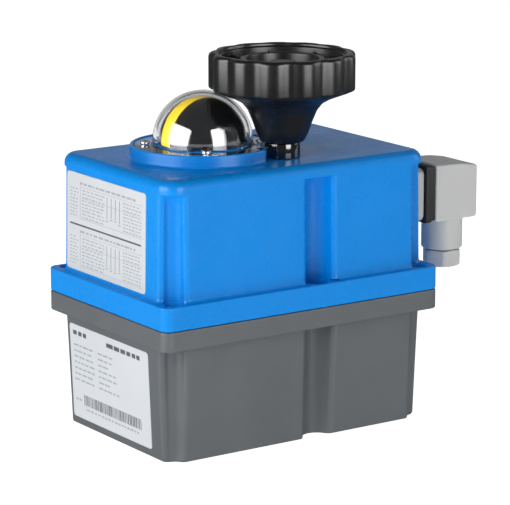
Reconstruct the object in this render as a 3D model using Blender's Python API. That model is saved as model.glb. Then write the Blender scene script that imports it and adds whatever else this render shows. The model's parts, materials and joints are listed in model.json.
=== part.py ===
"""Motorized quarter-turn valve actuator, built as an assembly of separate pieces.

Frame: +Z up, origin on the flat underside at the centre of the body's plan, +X towards the plug.
The output drive turns about a vertical axis at X = -25 mm, the handwheel about one at X = 6.5 mm.
All driving dimensions are in millimetres; MM turns them into metres.
"""
import math

import bmesh
import bpy
from mathutils import Matrix, Vector

MM = 0.001
GAP = 0.3                      # clearance kept between pieces that touch

# --- casing -------------------------------------------------------------------------------------
FLANGE_L, FLANGE_W = 170.0, 115.0   # the flange where cover and base meet
FLANGE_R = 5.0
SPLIT_Z = 70.0
BASE_FLANGE_H = 10.3
COVER_FLANGE_H = 12.35
TOP_Z = 143.7
WALL = 3.0
BASE_INSET_BOTTOM, BASE_INSET_TOP = 6.2, 3.7     # wall inset from the flange edge (mould draft)
COVER_INSET_BOTTOM, COVER_INSET_TOP = 3.7, 4.7
CORNER_POCKET = (76.0, 51.0, 5.5, 2.5)           # x, y, pocket radius, lip radius
MID_POCKET = (11.0, 51.5, 8.0, 3.0)
POCKET_TOP = 137.0                               # the screw pockets stop under the cover's top edge
SCREW_SEAT_Z = 76.0
CORNER_SEAT_R, MID_SEAT_R, MID_SEAT_SHIFT = 4.5, 6.3, 1.5   # the middle seats lie further in
CAP_R = 10.0
CAP_FILLET = 5.0
FLOOR_T = 5.0
DRIVE_BOSS_R, DRIVE_BOSS_TOP = 33.0, 13.0

# --- drive train --------------------------------------------------------------------------------
OUTPUT = (-25.0, 0.0)
IDLER = (15.5, -0.5)
HANDWHEEL = (6.5, -25.95)
MOTOR = (42.5, -0.5)
COARSE_MODULE, FINE_MODULE = 1.5, 1.0
GEAR_TEETH, PINION_TEETH = 40, 14
STAR_FLATS = 14.0                                # ISO 5211 double square socket
STAR_CORNER_R = 9.2
STAR_DEPTH = 16.0
F03_CIRCLE_R, F05_CIRCLE_R = 18.0, 25.0
GEAR_Z = (20.0, 30.0)
FINE_GEAR_Z = (33.0, 40.0)
PLATE_Z = (46.0, 49.0)
PLATE_MIDDLE_X, PLATE_HALF = 8.0, (62.0, 37.5)
AXLE_R, MOTOR_SHAFT_R, MOTOR_R = 3.0, 2.5, 21.0
OUTPUT_FOOT_R, OUTPUT_HUB_R, OUTPUT_NECK_R, INDICATOR_STEM_R = 12.0, 10.0, 8.0, 5.0
BUSH_R = 15.0
CAM_R, CAM_DIP_R, CAM_H = 14.0, 12.5, 8.0
CAM_Z = (64.0, 78.0)
BOARD_Z = (104.0, 105.6)

# --- dome ---------------------------------------------------------------------------------------
BOSS_R, BOSS_TOP = 37.5, 150.2
BOSS_FLOOR = 147.7
DOME_R, DOME_INNER_R = 25.5, 23.9
DOME_CENTRE_Z = 152.0
DOME_FLANGE_R, DOME_FLANGE_T = 35.3, 1.8
DOME_SCREW_CIRCLE, DOME_SCREW_ANGLE = 29.6, 60.0
BALL_R, BALL_BASE_Z = 23.2, 150.2
BAND_Y = (0.2, 4.8)
BAND_SLOT_DEPTH = 2.2

# --- handwheel ----------------------------------------------------------------------------------
WHEEL_R, WHEEL_TOP = 37.0, 197.7
WHEEL_FOOT, WHEEL_HUB_TOP = 152.3, 190.0
BUSH_TOP = 151.8
WHEEL_LOBES, LOBE_DEPTH, LOBE_ANGLE = 13, 2.2, 227.0
COLLAR_R = 9.2
SHAFT_R = 4.0

# --- plug connector -----------------------------------------------------------------------------
PLUG_Y = (-43.5, -14.0)
PLUG_Z = (101.9, 132.4)
PLUG_X = (93.4, 120.8)
SOCKET_PLATE_X = (81.5, 86.2)
GLAND_X = 108.7
GLAND_R = 11.0
GLAND_THREAD_R = 7.6
GLAND_NUT_FLATS = 18.6
GLAND_HUB_Z, GLAND_NUT_Z = 84.6, (74.8, 83.6)


# === helpers ====================================================================================
def clear_scene():
    for old in list(bpy.data.objects):
        bpy.data.objects.remove(old, do_unlink=True)


def linear(channel):
    value = channel / 255.0
    return value / 12.92 if value <= 0.04045 else ((value + 0.055) / 1.055) ** 2.4


def material(name, rgb, roughness=0.5, metallic=0.0, transmission=0.0):
    mat = bpy.data.materials.new(name)
    mat.use_nodes = True
    shader = mat.node_tree.nodes["Principled BSDF"]
    shader.inputs["Base Color"].default_value = (*[linear(c) for c in rgb], 1.0)
    shader.inputs["Roughness"].default_value = roughness
    shader.inputs["Metallic"].default_value = metallic
    shader.inputs["Transmission Weight"].default_value = transmission
    return mat


def add_object(name, bm, mat, parent=None):
    """Put the bmesh (millimetres, world axes) into the scene under an optional parent empty."""
    bmesh.ops.recalc_face_normals(bm, faces=bm.faces[:])
    bmesh.ops.transform(bm, matrix=Matrix.Scale(MM, 4), verts=bm.verts[:])
    mesh = bpy.data.meshes.new(name)
    bm.to_mesh(mesh)
    bm.free()
    mesh.shade_smooth()
    mesh.set_sharp_from_angle(angle=math.radians(30))
    obj = bpy.data.objects.new(name, mesh)
    bpy.context.collection.objects.link(obj)
    if mat is not None:
        mesh.materials.append(mat)
    if parent is not None:
        obj.parent = parent
        obj.matrix_parent_inverse = Matrix.Translation(parent.location).inverted()
    return obj


def axis_empty(name, x, y):
    """An empty on a vertical joint axis; the pieces that turn together hang from it."""
    empty = bpy.data.objects.new(name, None)
    empty.location = (x * MM, y * MM, 0.0)
    bpy.context.collection.objects.link(empty)
    return empty


def boolean(target, tool_bm, operation, name):
    """Cut with, or add, the shape in tool_bm. The tool stays in the file as a hidden wire guide."""
    tool = add_object(name, tool_bm, None)
    tool.hide_render = True
    tool.display_type = "WIRE"
    modifier = target.modifiers.new(name, "BOOLEAN")
    modifier.operation = operation
    modifier.solver = "EXACT"
    modifier.object = tool
    return tool


def cut(target, tool_bm, name):
    return boolean(target, tool_bm, "DIFFERENCE", name)


def join(target, tool_bm, name):
    return boolean(target, tool_bm, "UNION", name)


def combine(*parts):
    """One bmesh from several that don't touch, used as a single cutter."""
    out = bmesh.new()
    for part in parts:
        mesh = bpy.data.meshes.new("scratch")
        part.to_mesh(mesh)
        part.free()
        out.from_mesh(mesh)
        bpy.data.meshes.remove(mesh)
    return out


def loft(rings, cyclic=False):
    """A closed solid through rings of equal point count; cyclic joins the last ring to the first."""
    bm = bmesh.new()
    rows = [[bm.verts.new(point) for point in ring] for ring in rings]
    pairs = list(zip(rows, rows[1:]))
    if cyclic:
        pairs.append((rows[-1], rows[0]))
    count = len(rows[0])
    for low, high in pairs:
        for i in range(count):
            k = (i + 1) % count
            bm.faces.new((low[i], low[k], high[k], high[i]))
    if not cyclic:
        bm.faces.new(list(reversed(rows[0])))
        bm.faces.new(rows[-1])
    bmesh.ops.recalc_face_normals(bm, faces=bm.faces[:])
    return bm


def ring(radius, z, count=32, centre=(0.0, 0.0)):
    """Points round a vertical axis; radius is a number or a function of the angle in radians."""
    points = []
    for i in range(count):
        angle = 2.0 * math.pi * i / count
        r = radius(angle) if callable(radius) else radius
        points.append(Vector((centre[0] + r * math.cos(angle), centre[1] + r * math.sin(angle), z)))
    return points


def turned(profile, count=32, centre=(0.0, 0.0), bored=False):
    """A turned solid from (radius, z) steps. Bored pieces close on themselves round the bore."""
    return loft([ring(r, z, count, centre) for r, z in profile], cyclic=bored)


def tube(inner, outer, z0, z1, count=32, centre=(0.0, 0.0)):
    return turned([(inner, z0), (outer, z0), (outer, z1), (inner, z1)], count, centre, bored=True)


def cylinder(radius, z0, z1, count=32, centre=(0.0, 0.0)):
    return turned([(radius, z0), (radius, z1)], count, centre)


def prism(outline, z0, z1):
    return loft([[Vector((x, y, z)) for x, y in outline] for z in (z0, z1)])


def box(x, y, z, bevel=0.0, segments=2):
    """An axis-aligned block between the given (low, high) pairs, with rounded edges if asked."""
    bm = bmesh.new()
    bmesh.ops.create_cube(bm, size=1.0)
    size = Matrix.Diagonal((x[1] - x[0], y[1] - y[0], z[1] - z[0], 1.0))
    middle = Matrix.Translation(((x[0] + x[1]) / 2, (y[0] + y[1]) / 2, (z[0] + z[1]) / 2))
    bmesh.ops.transform(bm, matrix=middle @ size, verts=bm.verts[:])
    if bevel:
        bmesh.ops.bevel(bm, geom=bm.edges[:], offset=bevel, segments=segments, affect="EDGES",
                        profile=0.5)
    return bm


def turn_to_x(bm, origin):
    """Lay a vertical turned shape along +X, its foot at origin."""
    matrix = Matrix.Translation(origin) @ Matrix.Rotation(math.radians(90), 4, "Y")
    bmesh.ops.transform(bm, matrix=matrix, verts=bm.verts[:])
    return bm


def rounded_rect(half_x, half_y, radius, steps=3):
    """Counter-clockwise rectangle outline with rounded corners."""
    points = []
    for sx, sy, start in ((1, 1, 0), (-1, 1, 90), (-1, -1, 180), (1, -1, 270)):
        for i in range(steps + 1):
            angle = math.radians(start + 90.0 * i / steps)
            points.append((sx * (half_x - radius) + radius * math.cos(angle),
                           sy * (half_y - radius) + radius * math.sin(angle)))
    return points


def arc(centre, radius, start, stop, steps):
    return [(centre[0] + radius * math.cos(start + (stop - start) * i / steps),
             centre[1] + radius * math.sin(start + (stop - start) * i / steps))
            for i in range(steps + 1)]


# === casing outline =============================================================================
def pocket_arcs(lip_a, lip_b, start_a, pocket, pocket_r, lip_r):
    """Lip, concave pocket, lip: three tangent arcs, travelling counter-clockwise round the body."""
    angle_a = math.atan2(pocket[1] - lip_a[1], pocket[0] - lip_a[0])
    angle_b = math.atan2(pocket[1] - lip_b[1], pocket[0] - lip_b[0])
    inner_start = angle_a - math.pi
    inner_stop = angle_b + math.pi
    while inner_stop > inner_start:
        inner_stop -= 2.0 * math.pi
    points = arc(lip_a, lip_r, start_a, angle_a, 2)
    points += arc(pocket, pocket_r, inner_start, inner_stop, 5)[1:-1]
    points += arc(lip_b, lip_r, angle_b, math.pi / 2, 2)
    return points


def corner_points(half_x, half_y, inward):
    cx, cy, pocket_r, lip_r = CORNER_POCKET
    pocket_r += inward
    lip_r = max(lip_r - inward, GAP)
    reach = pocket_r + lip_r
    lip_a = (half_x - lip_r, cy - math.sqrt(reach ** 2 - (half_x - lip_r - cx) ** 2))
    lip_b = (cx - math.sqrt(reach ** 2 - (half_y - lip_r - cy) ** 2), half_y - lip_r)
    return pocket_arcs(lip_a, lip_b, 0.0, (cx, cy), pocket_r, lip_r)


def mid_points(half_y, inward):
    cx, cy, pocket_r, lip_r = MID_POCKET
    pocket_r += inward
    lip_r = max(lip_r - inward, GAP)
    side = math.sqrt((pocket_r + lip_r) ** 2 - (half_y - lip_r - cy) ** 2)
    lip_a = (cx + side, half_y - lip_r)
    lip_b = (cx - side, half_y - lip_r)
    return pocket_arcs(lip_a, lip_b, math.pi / 2, (cx, cy), pocket_r, lip_r)


def wall_outline(inset, inward=0.0):
    """The casing wall in plan, `inset` in from the flange edge, then `inward` into the material."""
    half_x = FLANGE_L / 2 - inset - inward
    half_y = FLANGE_W / 2 - inset - inward
    corner = corner_points(half_x, half_y, inward)
    upper = corner + mid_points(half_y, inward) + [(-x, y) for x, y in reversed(corner)]
    return upper + [(x, -y) for x, y in reversed(upper)]


def wall_ring(inset, z, inward=0.0):
    return [Vector((x, y, z)) for x, y in wall_outline(inset, inward)]


def base_inset(z):
    share = z / (SPLIT_Z - BASE_FLANGE_H)
    return BASE_INSET_BOTTOM + (BASE_INSET_TOP - BASE_INSET_BOTTOM) * share


def cover_inset(z):
    low = SPLIT_Z + COVER_FLANGE_H
    share = (z - low) / (POCKET_TOP - low)
    return COVER_INSET_BOTTOM + (COVER_INSET_TOP - COVER_INSET_BOTTOM) * share


def casing_screw_places():
    """Screw positions: the four corners, then the middle of each long side."""
    cx, cy = CORNER_POCKET[:2]
    places = [(sx * cx, sy * cy) for sx in (-1, 1) for sy in (-1, 1)]
    return places + [(MID_POCKET[0], sy * MID_POCKET[1]) for sy in (-1, 1)]


def circle_places(radius, first, count=4, centre=OUTPUT):
    return [(centre[0] + radius * math.cos(math.radians(first + 360.0 * i / count)),
             centre[1] + radius * math.sin(math.radians(first + 360.0 * i / count)))
            for i in range(count)]


# === casing =====================================================================================
def make_base(mat):
    edge = 1.2
    rings = [wall_ring(base_inset(0) + edge, 0.0), wall_ring(base_inset(edge), edge),
             wall_ring(base_inset(64.0), 64.0)]
    base = add_object("base_housing", loft(rings), mat)
    flange = prism(rounded_rect(FLANGE_L / 2, FLANGE_W / 2, FLANGE_R),
                   SPLIT_Z - BASE_FLANGE_H, SPLIT_Z - GAP / 2)
    join(base, flange, "base_flange")
    cavity = loft([wall_ring(base_inset(FLOOR_T), FLOOR_T, WALL),
                   wall_ring(base_inset(SPLIT_Z + 1), SPLIT_Z + 1, WALL)])
    cut(base, cavity, "base_cavity")
    groove = loft([wall_ring(BASE_INSET_TOP, z, inward) for inward, z in
                   ((0.7, 68.2), (2.3, 68.2), (2.3, 71.0), (0.7, 71.0))], cyclic=True)
    cut(base, groove, "base_seal_groove")
    join(base, cylinder(DRIVE_BOSS_R, FLOOR_T - 1, DRIVE_BOSS_TOP, 28, OUTPUT), "drive_boss")
    join(base, cylinder(8.0, FLOOR_T - 1, 10.0, 16, HANDWHEEL), "handwheel_foot_boss")
    join(base, cylinder(7.0, FLOOR_T - 1, 8.0, 16, IDLER), "idler_boss")
    cut(base, cylinder(BUSH_R + GAP, -1.0, 20.0, 28, OUTPUT), "drive_hole")
    cut(base, cylinder(SHAFT_R + GAP, 6.0, 14.0, 16, HANDWHEEL), "handwheel_foot_hole")
    cut(base, cylinder(AXLE_R + GAP, 4.0, 14.0, 16, IDLER), "idler_hole")
    holes = [cylinder(2.1, -1.0, 10.0, 8, place) for place in circle_places(F03_CIRCLE_R, 45.0)]
    holes += [cylinder(2.5, -1.0, 10.0, 8, place) for place in circle_places(F05_CIRCLE_R, 45.0)]
    holes += [cylinder(2.3, 61.5, 71.0, 8, place) for place in casing_screw_places()]
    cut(base, combine(*holes), "base_screw_holes")
    return base


def make_cover(mat):
    low = SPLIT_Z + COVER_FLANGE_H
    rings = [wall_ring(cover_inset(low - 4), low - 4), wall_ring(cover_inset(low), low),
             wall_ring(cover_inset(POCKET_TOP), POCKET_TOP)]
    cover = add_object("cover", loft(rings), mat)
    flange_top_edge = 0.8
    half_x, half_y = FLANGE_L / 2, FLANGE_W / 2
    flange_steps = ((0.0, SPLIT_Z + GAP / 2), (0.0, low - flange_top_edge), (flange_top_edge, low))
    flange = loft([[Vector((x, y, z)) for x, y in
                    rounded_rect(half_x - inset, half_y - inset, FLANGE_R - inset)]
                   for inset, z in flange_steps])
    join(cover, flange, "cover_flange")
    cap_inset = COVER_INSET_TOP - 0.1
    cap_rings = []
    for step in range(-1, 4):
        angle = math.radians(max(step, 0) * 30.0)
        inset = cap_inset + CAP_FILLET * (1.0 - math.cos(angle))
        z = TOP_Z - CAP_FILLET * (1.0 - math.sin(angle)) if step >= 0 else POCKET_TOP - 0.5
        outline = rounded_rect(half_x - inset, half_y - inset, CAP_R - (inset - cap_inset), 4)
        cap_rings.append([Vector((x, y, z)) for x, y in outline])
    join(cover, loft(cap_rings), "cover_cap")
    boss = turned([(BOSS_R + 1.5, TOP_Z - 2), (BOSS_R + 1.5, TOP_Z), (BOSS_R + 0.4, TOP_Z + 1.2),
                   (BOSS_R, TOP_Z + 3), (BOSS_R, BOSS_TOP - 1), (BOSS_R - 0.8, BOSS_TOP)], 40, OUTPUT)
    join(cover, boss, "dome_boss")
    cavity = loft([wall_ring(cover_inset(z), z, WALL) for z in (SPLIT_Z - 1, TOP_Z - WALL)])
    cut(cover, cavity, "cover_cavity")
    cut(cover, cylinder(DOME_FLANGE_R + GAP, BOSS_FLOOR, BOSS_TOP + 1, 40, OUTPUT), "dome_recess")
    seal_groove = tube(24.6, 27.0, BOSS_FLOOR - 1.4, BOSS_FLOOR + 0.5, 32, OUTPUT)
    cut(cover, seal_groove, "dome_seal_groove")
    cut(cover, cylinder(7.0, TOP_Z - WALL - 1, BOSS_TOP, 20, OUTPUT), "indicator_hole")
    cut(cover, cylinder(COLLAR_R + 0.5, TOP_Z, BOSS_TOP + 1, 24, HANDWHEEL), "collar_relief")
    cut(cover, cylinder(5.7 + GAP, TOP_Z - WALL - 1, TOP_Z + 1, 16, HANDWHEEL), "bush_hole")
    seats = []
    for x, y in casing_screw_places():
        if x == MID_POCKET[0]:
            centre = (x, y - math.copysign(MID_SEAT_SHIFT, y))
            seats.append(cylinder(MID_SEAT_R, SCREW_SEAT_Z - GAP, low + 1, 16, centre))
        else:
            seats.append(cylinder(CORNER_SEAT_R, SCREW_SEAT_Z - GAP, low + 1, 12, (x, y)))
    cut(cover, combine(*seats), "casing_screw_seats")
    holes = [cylinder(2.6, SPLIT_Z - 1, SCREW_SEAT_Z + 1, 10, place)
             for place in casing_screw_places()]
    cut(cover, combine(*holes), "casing_screw_holes")
    dome_holes = [cylinder(1.3, BOSS_FLOOR - 3.5, BOSS_FLOOR + 1, 8, place)
                  for place in circle_places(DOME_SCREW_CIRCLE, DOME_SCREW_ANGLE)]
    cut(cover, combine(*dome_holes), "dome_screw_holes")
    middle_y, middle_z = sum(PLUG_Y) / 2, sum(PLUG_Z) / 2
    port = box((70.0, 84.0), (middle_y - 9.4, middle_y + 9.4), (middle_z - 9.4, middle_z + 9.4))
    cut(cover, port, "plug_port")
    return cover


def make_seal(mat):
    rings = [wall_ring(BASE_INSET_TOP, z, inward) for inward, z in
             ((1.0, 68.5), (2.0, 68.5), (2.0, 69.85), (1.0, 69.85))]
    add_object("housing_seal", loft(rings, cyclic=True), mat)


def hex_radius(across_flats, corner=None):
    def radius(angle):
        folded = (angle % (math.pi / 3)) - math.pi / 6
        value = across_flats / 2 / math.cos(folded)
        return min(value, corner) if corner else value
    return radius


def socket_screw(name, place, seat, head, shank, socket, mat, count=12):
    """Head (radius, height) on a seat height, shank (radius, length), hexagon socket (flats, depth)."""
    top = seat + head[1]
    rings = [ring(shank[0], seat - shank[1], count, place), ring(shank[0], seat, count, place),
             ring(head[0], seat, count, place), ring(head[0], top - 0.4, count, place),
             ring(head[0] - 0.4, top, count, place), ring(hex_radius(socket[0]), top, count, place),
             ring(hex_radius(socket[0]), top - socket[1], count, place)]
    add_object(name, loft(rings), mat)


def make_casing_screws(mat):
    for number, place in enumerate(casing_screw_places(), 1):
        socket_screw(f"cover_screw_{number}", place, SCREW_SEAT_Z, (3.8, 4.0), (2.0, 13.0),
                     (3.0, 2.2), mat)


def make_labels(mat):
    """Two blank plates on the -X walls, leaning with the mould draft."""
    plates = (("label_upper", (-33.5, 42.5), (84.5, 135.5), cover_inset),
              ("label_lower", (-35.0, 41.5), (4.5, 55.0), base_inset))
    thickness = 0.3
    for name, y, z, inset in plates:
        rings = []
        for out in (GAP, GAP + thickness):
            outline = rounded_rect((y[1] - y[0]) / 2, (z[1] - z[0]) / 2, 1.5, 3)
            middle = (sum(y) / 2, sum(z) / 2)
            ring_points = []
            for across, up in outline:
                height = middle[1] + up
                ring_points.append(Vector((-(FLANGE_L / 2 - inset(height) + out),
                                           middle[0] + across, height)))
            rings.append(ring_points)
        add_object(name, loft(rings), mat)


# === dome and indicator =========================================================================
def make_dome(clear, rubber, steel):
    outer = [(DOME_R * math.cos(a), DOME_CENTRE_Z + DOME_R * math.sin(a))
             for a in [math.radians(18.0 * i) for i in range(5)]]
    inner = [(DOME_INNER_R * math.cos(a), DOME_CENTRE_Z + DOME_INNER_R * math.sin(a))
             for a in [math.radians(18.0 * i) for i in range(4, -1, -1)]]
    low = BOSS_FLOOR + GAP
    top = low + DOME_FLANGE_T
    tip = 0.05
    profile = [(tip, DOME_CENTRE_Z + DOME_INNER_R)] + inner
    profile += [(DOME_INNER_R, low), (DOME_FLANGE_R, low), (DOME_FLANGE_R, top), (DOME_R, top)]
    profile += outer + [(tip, DOME_CENTRE_Z + DOME_R)]
    dome = add_object("dome_window", turned(profile, 24, OUTPUT), clear)
    cut(dome, cylinder(COLLAR_R + 0.5, low - 1, top + 1, 24, HANDWHEEL), "dome_collar_relief")
    holes = [cylinder(1.7, low - 1, top + 1, 8, place)
             for place in circle_places(DOME_SCREW_CIRCLE, DOME_SCREW_ANGLE)]
    cut(dome, combine(*holes), "dome_flange_holes")
    seal = tube(25.0, 26.6, BOSS_FLOOR - 1.1, BOSS_FLOOR, 28, OUTPUT)
    add_object("dome_seal", seal, rubber)
    for number, place in enumerate(circle_places(DOME_SCREW_CIRCLE, DOME_SCREW_ANGLE), 1):
        socket_screw(f"dome_screw_{number}", place, top + GAP, (2.5, 1.6), (1.0, 4.8), (2.0, 0.9),
                     steel)


def ball_profile(radius, base_z, tip):
    start = math.asin((base_z - DOME_CENTRE_Z) / radius)
    steps = 6
    points = [(radius * math.cos(a), DOME_CENTRE_Z + radius * math.sin(a))
              for a in [start + (math.pi / 2 - start) * i / steps for i in range(steps)]]
    return points + [(tip, DOME_CENTRE_Z + radius)]


def make_indicator(black, yellow, parent):
    profile = [(6.3, 168.0), (6.3, BALL_BASE_Z)] + ball_profile(BALL_R, BALL_BASE_Z, 0.05)
    ball = add_object("indicator_ball", turned(profile, 28, OUTPUT), black, parent)
    slot_floor = BALL_R - BAND_SLOT_DEPTH
    slot = box((OUTPUT[0] - 40, OUTPUT[0] + 40), (BAND_Y[0] - GAP, BAND_Y[1] + GAP), (140.0, 190.0))
    slot_guide = cut(ball, slot, "indicator_slot")
    cut(slot_guide, sphere(slot_floor), "indicator_slot_core")
    add_object("indicator_band", band_solid(slot_floor + GAP, BALL_R - 0.1), yellow, parent)


def sphere(radius):
    bm = bmesh.new()
    bmesh.ops.create_uvsphere(bm, u_segments=28, v_segments=14, radius=radius)
    bmesh.ops.translate(bm, verts=bm.verts[:], vec=(OUTPUT[0], OUTPUT[1], DOME_CENTRE_Z))
    return bm


def band_solid(inner_r, outer_r):
    """A flat-sided arch that follows the ball from one foot over the top to the other."""
    rings = []
    steps = 18
    foot = math.radians(-2.5)
    for i in range(steps + 1):
        angle = foot + (math.pi - 2 * foot) * i / steps
        section = []
        for radius, y in ((inner_r, BAND_Y[0]), (outer_r, BAND_Y[0]),
                          (outer_r, BAND_Y[1]), (inner_r, BAND_Y[1])):
            flat = math.sqrt(radius ** 2 - y ** 2)
            section.append(Vector((OUTPUT[0] + flat * math.cos(angle), OUTPUT[1] + y,
                                   DOME_CENTRE_Z + flat * math.sin(angle))))
        rings.append(section)
    return loft(rings)


# === handwheel ==================================================================================
def lobed(radius, share=1.0):
    """Radius of the grip: rounded crests with shallow valleys between them."""
    def value(angle):
        wave = math.cos(WHEEL_LOBES * (angle - math.radians(LOBE_ANGLE)))
        return radius - share * LOBE_DEPTH * (0.5 - 0.5 * wave) ** 1.6
    return value


def make_handwheel(black, steel, parent):
    count = WHEEL_LOBES * 4
    top = WHEEL_TOP
    profile = [(SHAFT_R + GAP, WHEEL_FOOT), (11.2, WHEEL_FOOT), (12.0, WHEEL_FOOT + 0.9),
               (13.6, 157.0), (15.1, 161.6),
               (18.0, 168.6), (21.0, 172.2), (25.0, 174.8), (lobed(35.5, 0.8), 178.6),
               (lobed(WHEEL_R), 179.8), (lobed(WHEEL_R), top - 0.9), (lobed(WHEEL_R - 0.8), top),
               (31.2, top), (30.2, 182.5), (22.8, 181.0), (21.6, top - 3.0), (18.6, top - 3.0),
               (17.4, 180.5), (9.2, 179.5), (8.8, WHEEL_HUB_TOP), (SHAFT_R + GAP, WHEEL_HUB_TOP)]
    rings = [ring(r, z, count, HANDWHEEL) for r, z in profile]
    wheel = add_object("handwheel", loft(rings, cyclic=True), black, parent)
    ribs = []
    for i in range(8):
        rib = box((22.0 - 0.8, 31.0), (-0.9, 0.9), (180.0, top - 4.0))
        turn = Matrix.Translation((HANDWHEEL[0], HANDWHEEL[1], 0.0))
        turn = turn @ Matrix.Rotation(math.radians(22.5 + 45.0 * i), 4, "Z")
        bmesh.ops.transform(rib, matrix=turn, verts=rib.verts[:])
        ribs.append(rib)
    join(wheel, combine(*ribs), "handwheel_ribs")
    seat = WHEEL_HUB_TOP + GAP
    cap = turned([(3.5, seat), (8.2, seat), (8.2, seat + 1.3), (7.0, seat + 2.5), (3.5, seat + 3.1)],
                 20, HANDWHEEL)
    add_object("handwheel_cap", cap, black, parent)
    shaft = turned([(SHAFT_R, 6.5), (SHAFT_R, 41.5), (5.0, 41.5), (5.0, 43.5), (SHAFT_R, 43.5),
                    (SHAFT_R, WHEEL_HUB_TOP - 0.5), (3.4, WHEEL_HUB_TOP)], 16, HANDWHEEL)
    add_object("handwheel_shaft", shaft, steel, parent)


def make_handwheel_bush(black):
    bore = SHAFT_R + GAP
    profile = [(bore, 139.0), (5.7, 139.0), (5.7, TOP_Z + GAP), (COLLAR_R, TOP_Z + GAP),
               (COLLAR_R, BUSH_TOP - 0.6), (COLLAR_R - 0.6, BUSH_TOP), (bore, BUSH_TOP)]
    add_object("handwheel_bush", turned(profile, 24, HANDWHEEL, bored=True), black)


# === gears ======================================================================================
def involute(radius, base_r):
    """Polar angle swept by the involute of the base circle out to this radius."""
    return (math.sqrt(max(radius * radius / base_r ** 2 - 1, 0))
            - math.acos(min(base_r / radius, 1)))


def gear_outline(teeth, module, tooth_angle, centre, backlash=0.16):
    """Involute spur gear outline (20 degree pressure angle, stub teeth), one tooth at tooth_angle."""
    pitch_r = teeth * module / 2
    base_r = pitch_r * math.cos(math.radians(20))
    tip_r = pitch_r + 0.8 * module
    root_r = pitch_r - 1.1 * module
    half_at_pitch = math.pi / (2 * teeth) - backlash / (2 * pitch_r)
    flank = []
    start_r = max(base_r, root_r)
    for step in range(2):
        r = start_r + (tip_r - start_r) * step
        flank.append((r, half_at_pitch + involute(pitch_r, base_r) - involute(r, base_r)))
    if root_r < start_r:
        flank.insert(0, (root_r, flank[0][1]))
    points = []
    for tooth in range(teeth):
        middle = tooth_angle + 2 * math.pi * tooth / teeth
        side = [(r, middle - half) for r, half in flank] + [(r, middle + half)
                                                            for r, half in reversed(flank)]
        points += [(centre[0] + r * math.cos(a), centre[1] + r * math.sin(a)) for r, a in side]
    return points


def mesh_angle(driver, driver_teeth, driver_tooth, follower, follower_teeth):
    """Angle of one follower tooth, so that its gap meets the driver's tooth on the centre line."""
    line = math.atan2(follower[1] - driver[1], follower[0] - driver[0])
    pitch = 2 * math.pi / driver_teeth
    offset = (driver_tooth - line + pitch / 2) % pitch - pitch / 2
    gap = line + math.pi - offset * driver_teeth / follower_teeth
    return gap + math.pi / follower_teeth


def gear_with_bore(name, outline, z, bore, centre, mat, parent):
    gear = add_object(name, prism(outline, *z), mat, parent)
    cut(gear, cylinder(bore, z[0] - 20, z[1] + 20, 16, centre), name + "_bore")
    return gear


def make_gears(brass, steel, output, idler, wheel, rotor):
    coarse = mesh_angle(OUTPUT, GEAR_TEETH, 0.0, IDLER, PINION_TEETH)
    outline = gear_outline(GEAR_TEETH, COARSE_MODULE, 0.0, OUTPUT)
    gear = gear_with_bore("output_gear", outline, GEAR_Z, OUTPUT_HUB_R + GAP, OUTPUT, steel, output)
    windows = [cylinder(5.0, GEAR_Z[0] - 1, GEAR_Z[1] + 1, 8, place)
               for place in circle_places(19.5, 0.0, 6)]
    cut(gear, combine(*windows), "output_gear_windows")
    big = gear_with_bore("idler_gear", gear_outline(GEAR_TEETH, FINE_MODULE, 0.0, IDLER),
                         FINE_GEAR_Z, AXLE_R + GAP, IDLER, brass, idler)
    pinion = prism(gear_outline(PINION_TEETH, COARSE_MODULE, coarse, IDLER),
                   GEAR_Z[0] - 0.5, FINE_GEAR_Z[0] + 1)
    join(big, pinion, "idler_pinion")
    cut(big, cylinder(AXLE_R + GAP, 10, 50, 24, IDLER), "idler_through_bore")
    hand_tooth = mesh_angle(IDLER, GEAR_TEETH, 0.0, HANDWHEEL, PINION_TEETH)
    outline = gear_outline(PINION_TEETH, FINE_MODULE, hand_tooth, HANDWHEEL)
    gear_with_bore("handwheel_pinion", outline, (FINE_GEAR_Z[0] - 0.5, FINE_GEAR_Z[1] + 0.5),
                   SHAFT_R + GAP, HANDWHEEL, steel, wheel)
    motor_tooth = mesh_angle(IDLER, GEAR_TEETH, 0.0, MOTOR, PINION_TEETH)
    outline = gear_outline(PINION_TEETH, FINE_MODULE, motor_tooth, MOTOR)
    pinion = add_object("motor_pinion", prism(outline, FINE_GEAR_Z[0] - 0.5, FINE_GEAR_Z[1] + 0.5),
                        steel, rotor)
    join(pinion, cylinder(MOTOR_SHAFT_R, FINE_GEAR_Z[1], 60.0, 12, MOTOR), "motor_shaft")


def star_radius(angle):
    """Double-square socket: two squares 45 degrees apart, corners cut back to a circle."""
    widest = 0.0
    for turn in (0.0, math.pi / 4):
        c, s = abs(math.cos(angle + turn)), abs(math.sin(angle + turn))
        widest = max(widest, STAR_FLATS / 2 / max(c, s))
    return min(widest, STAR_CORNER_R)


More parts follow.
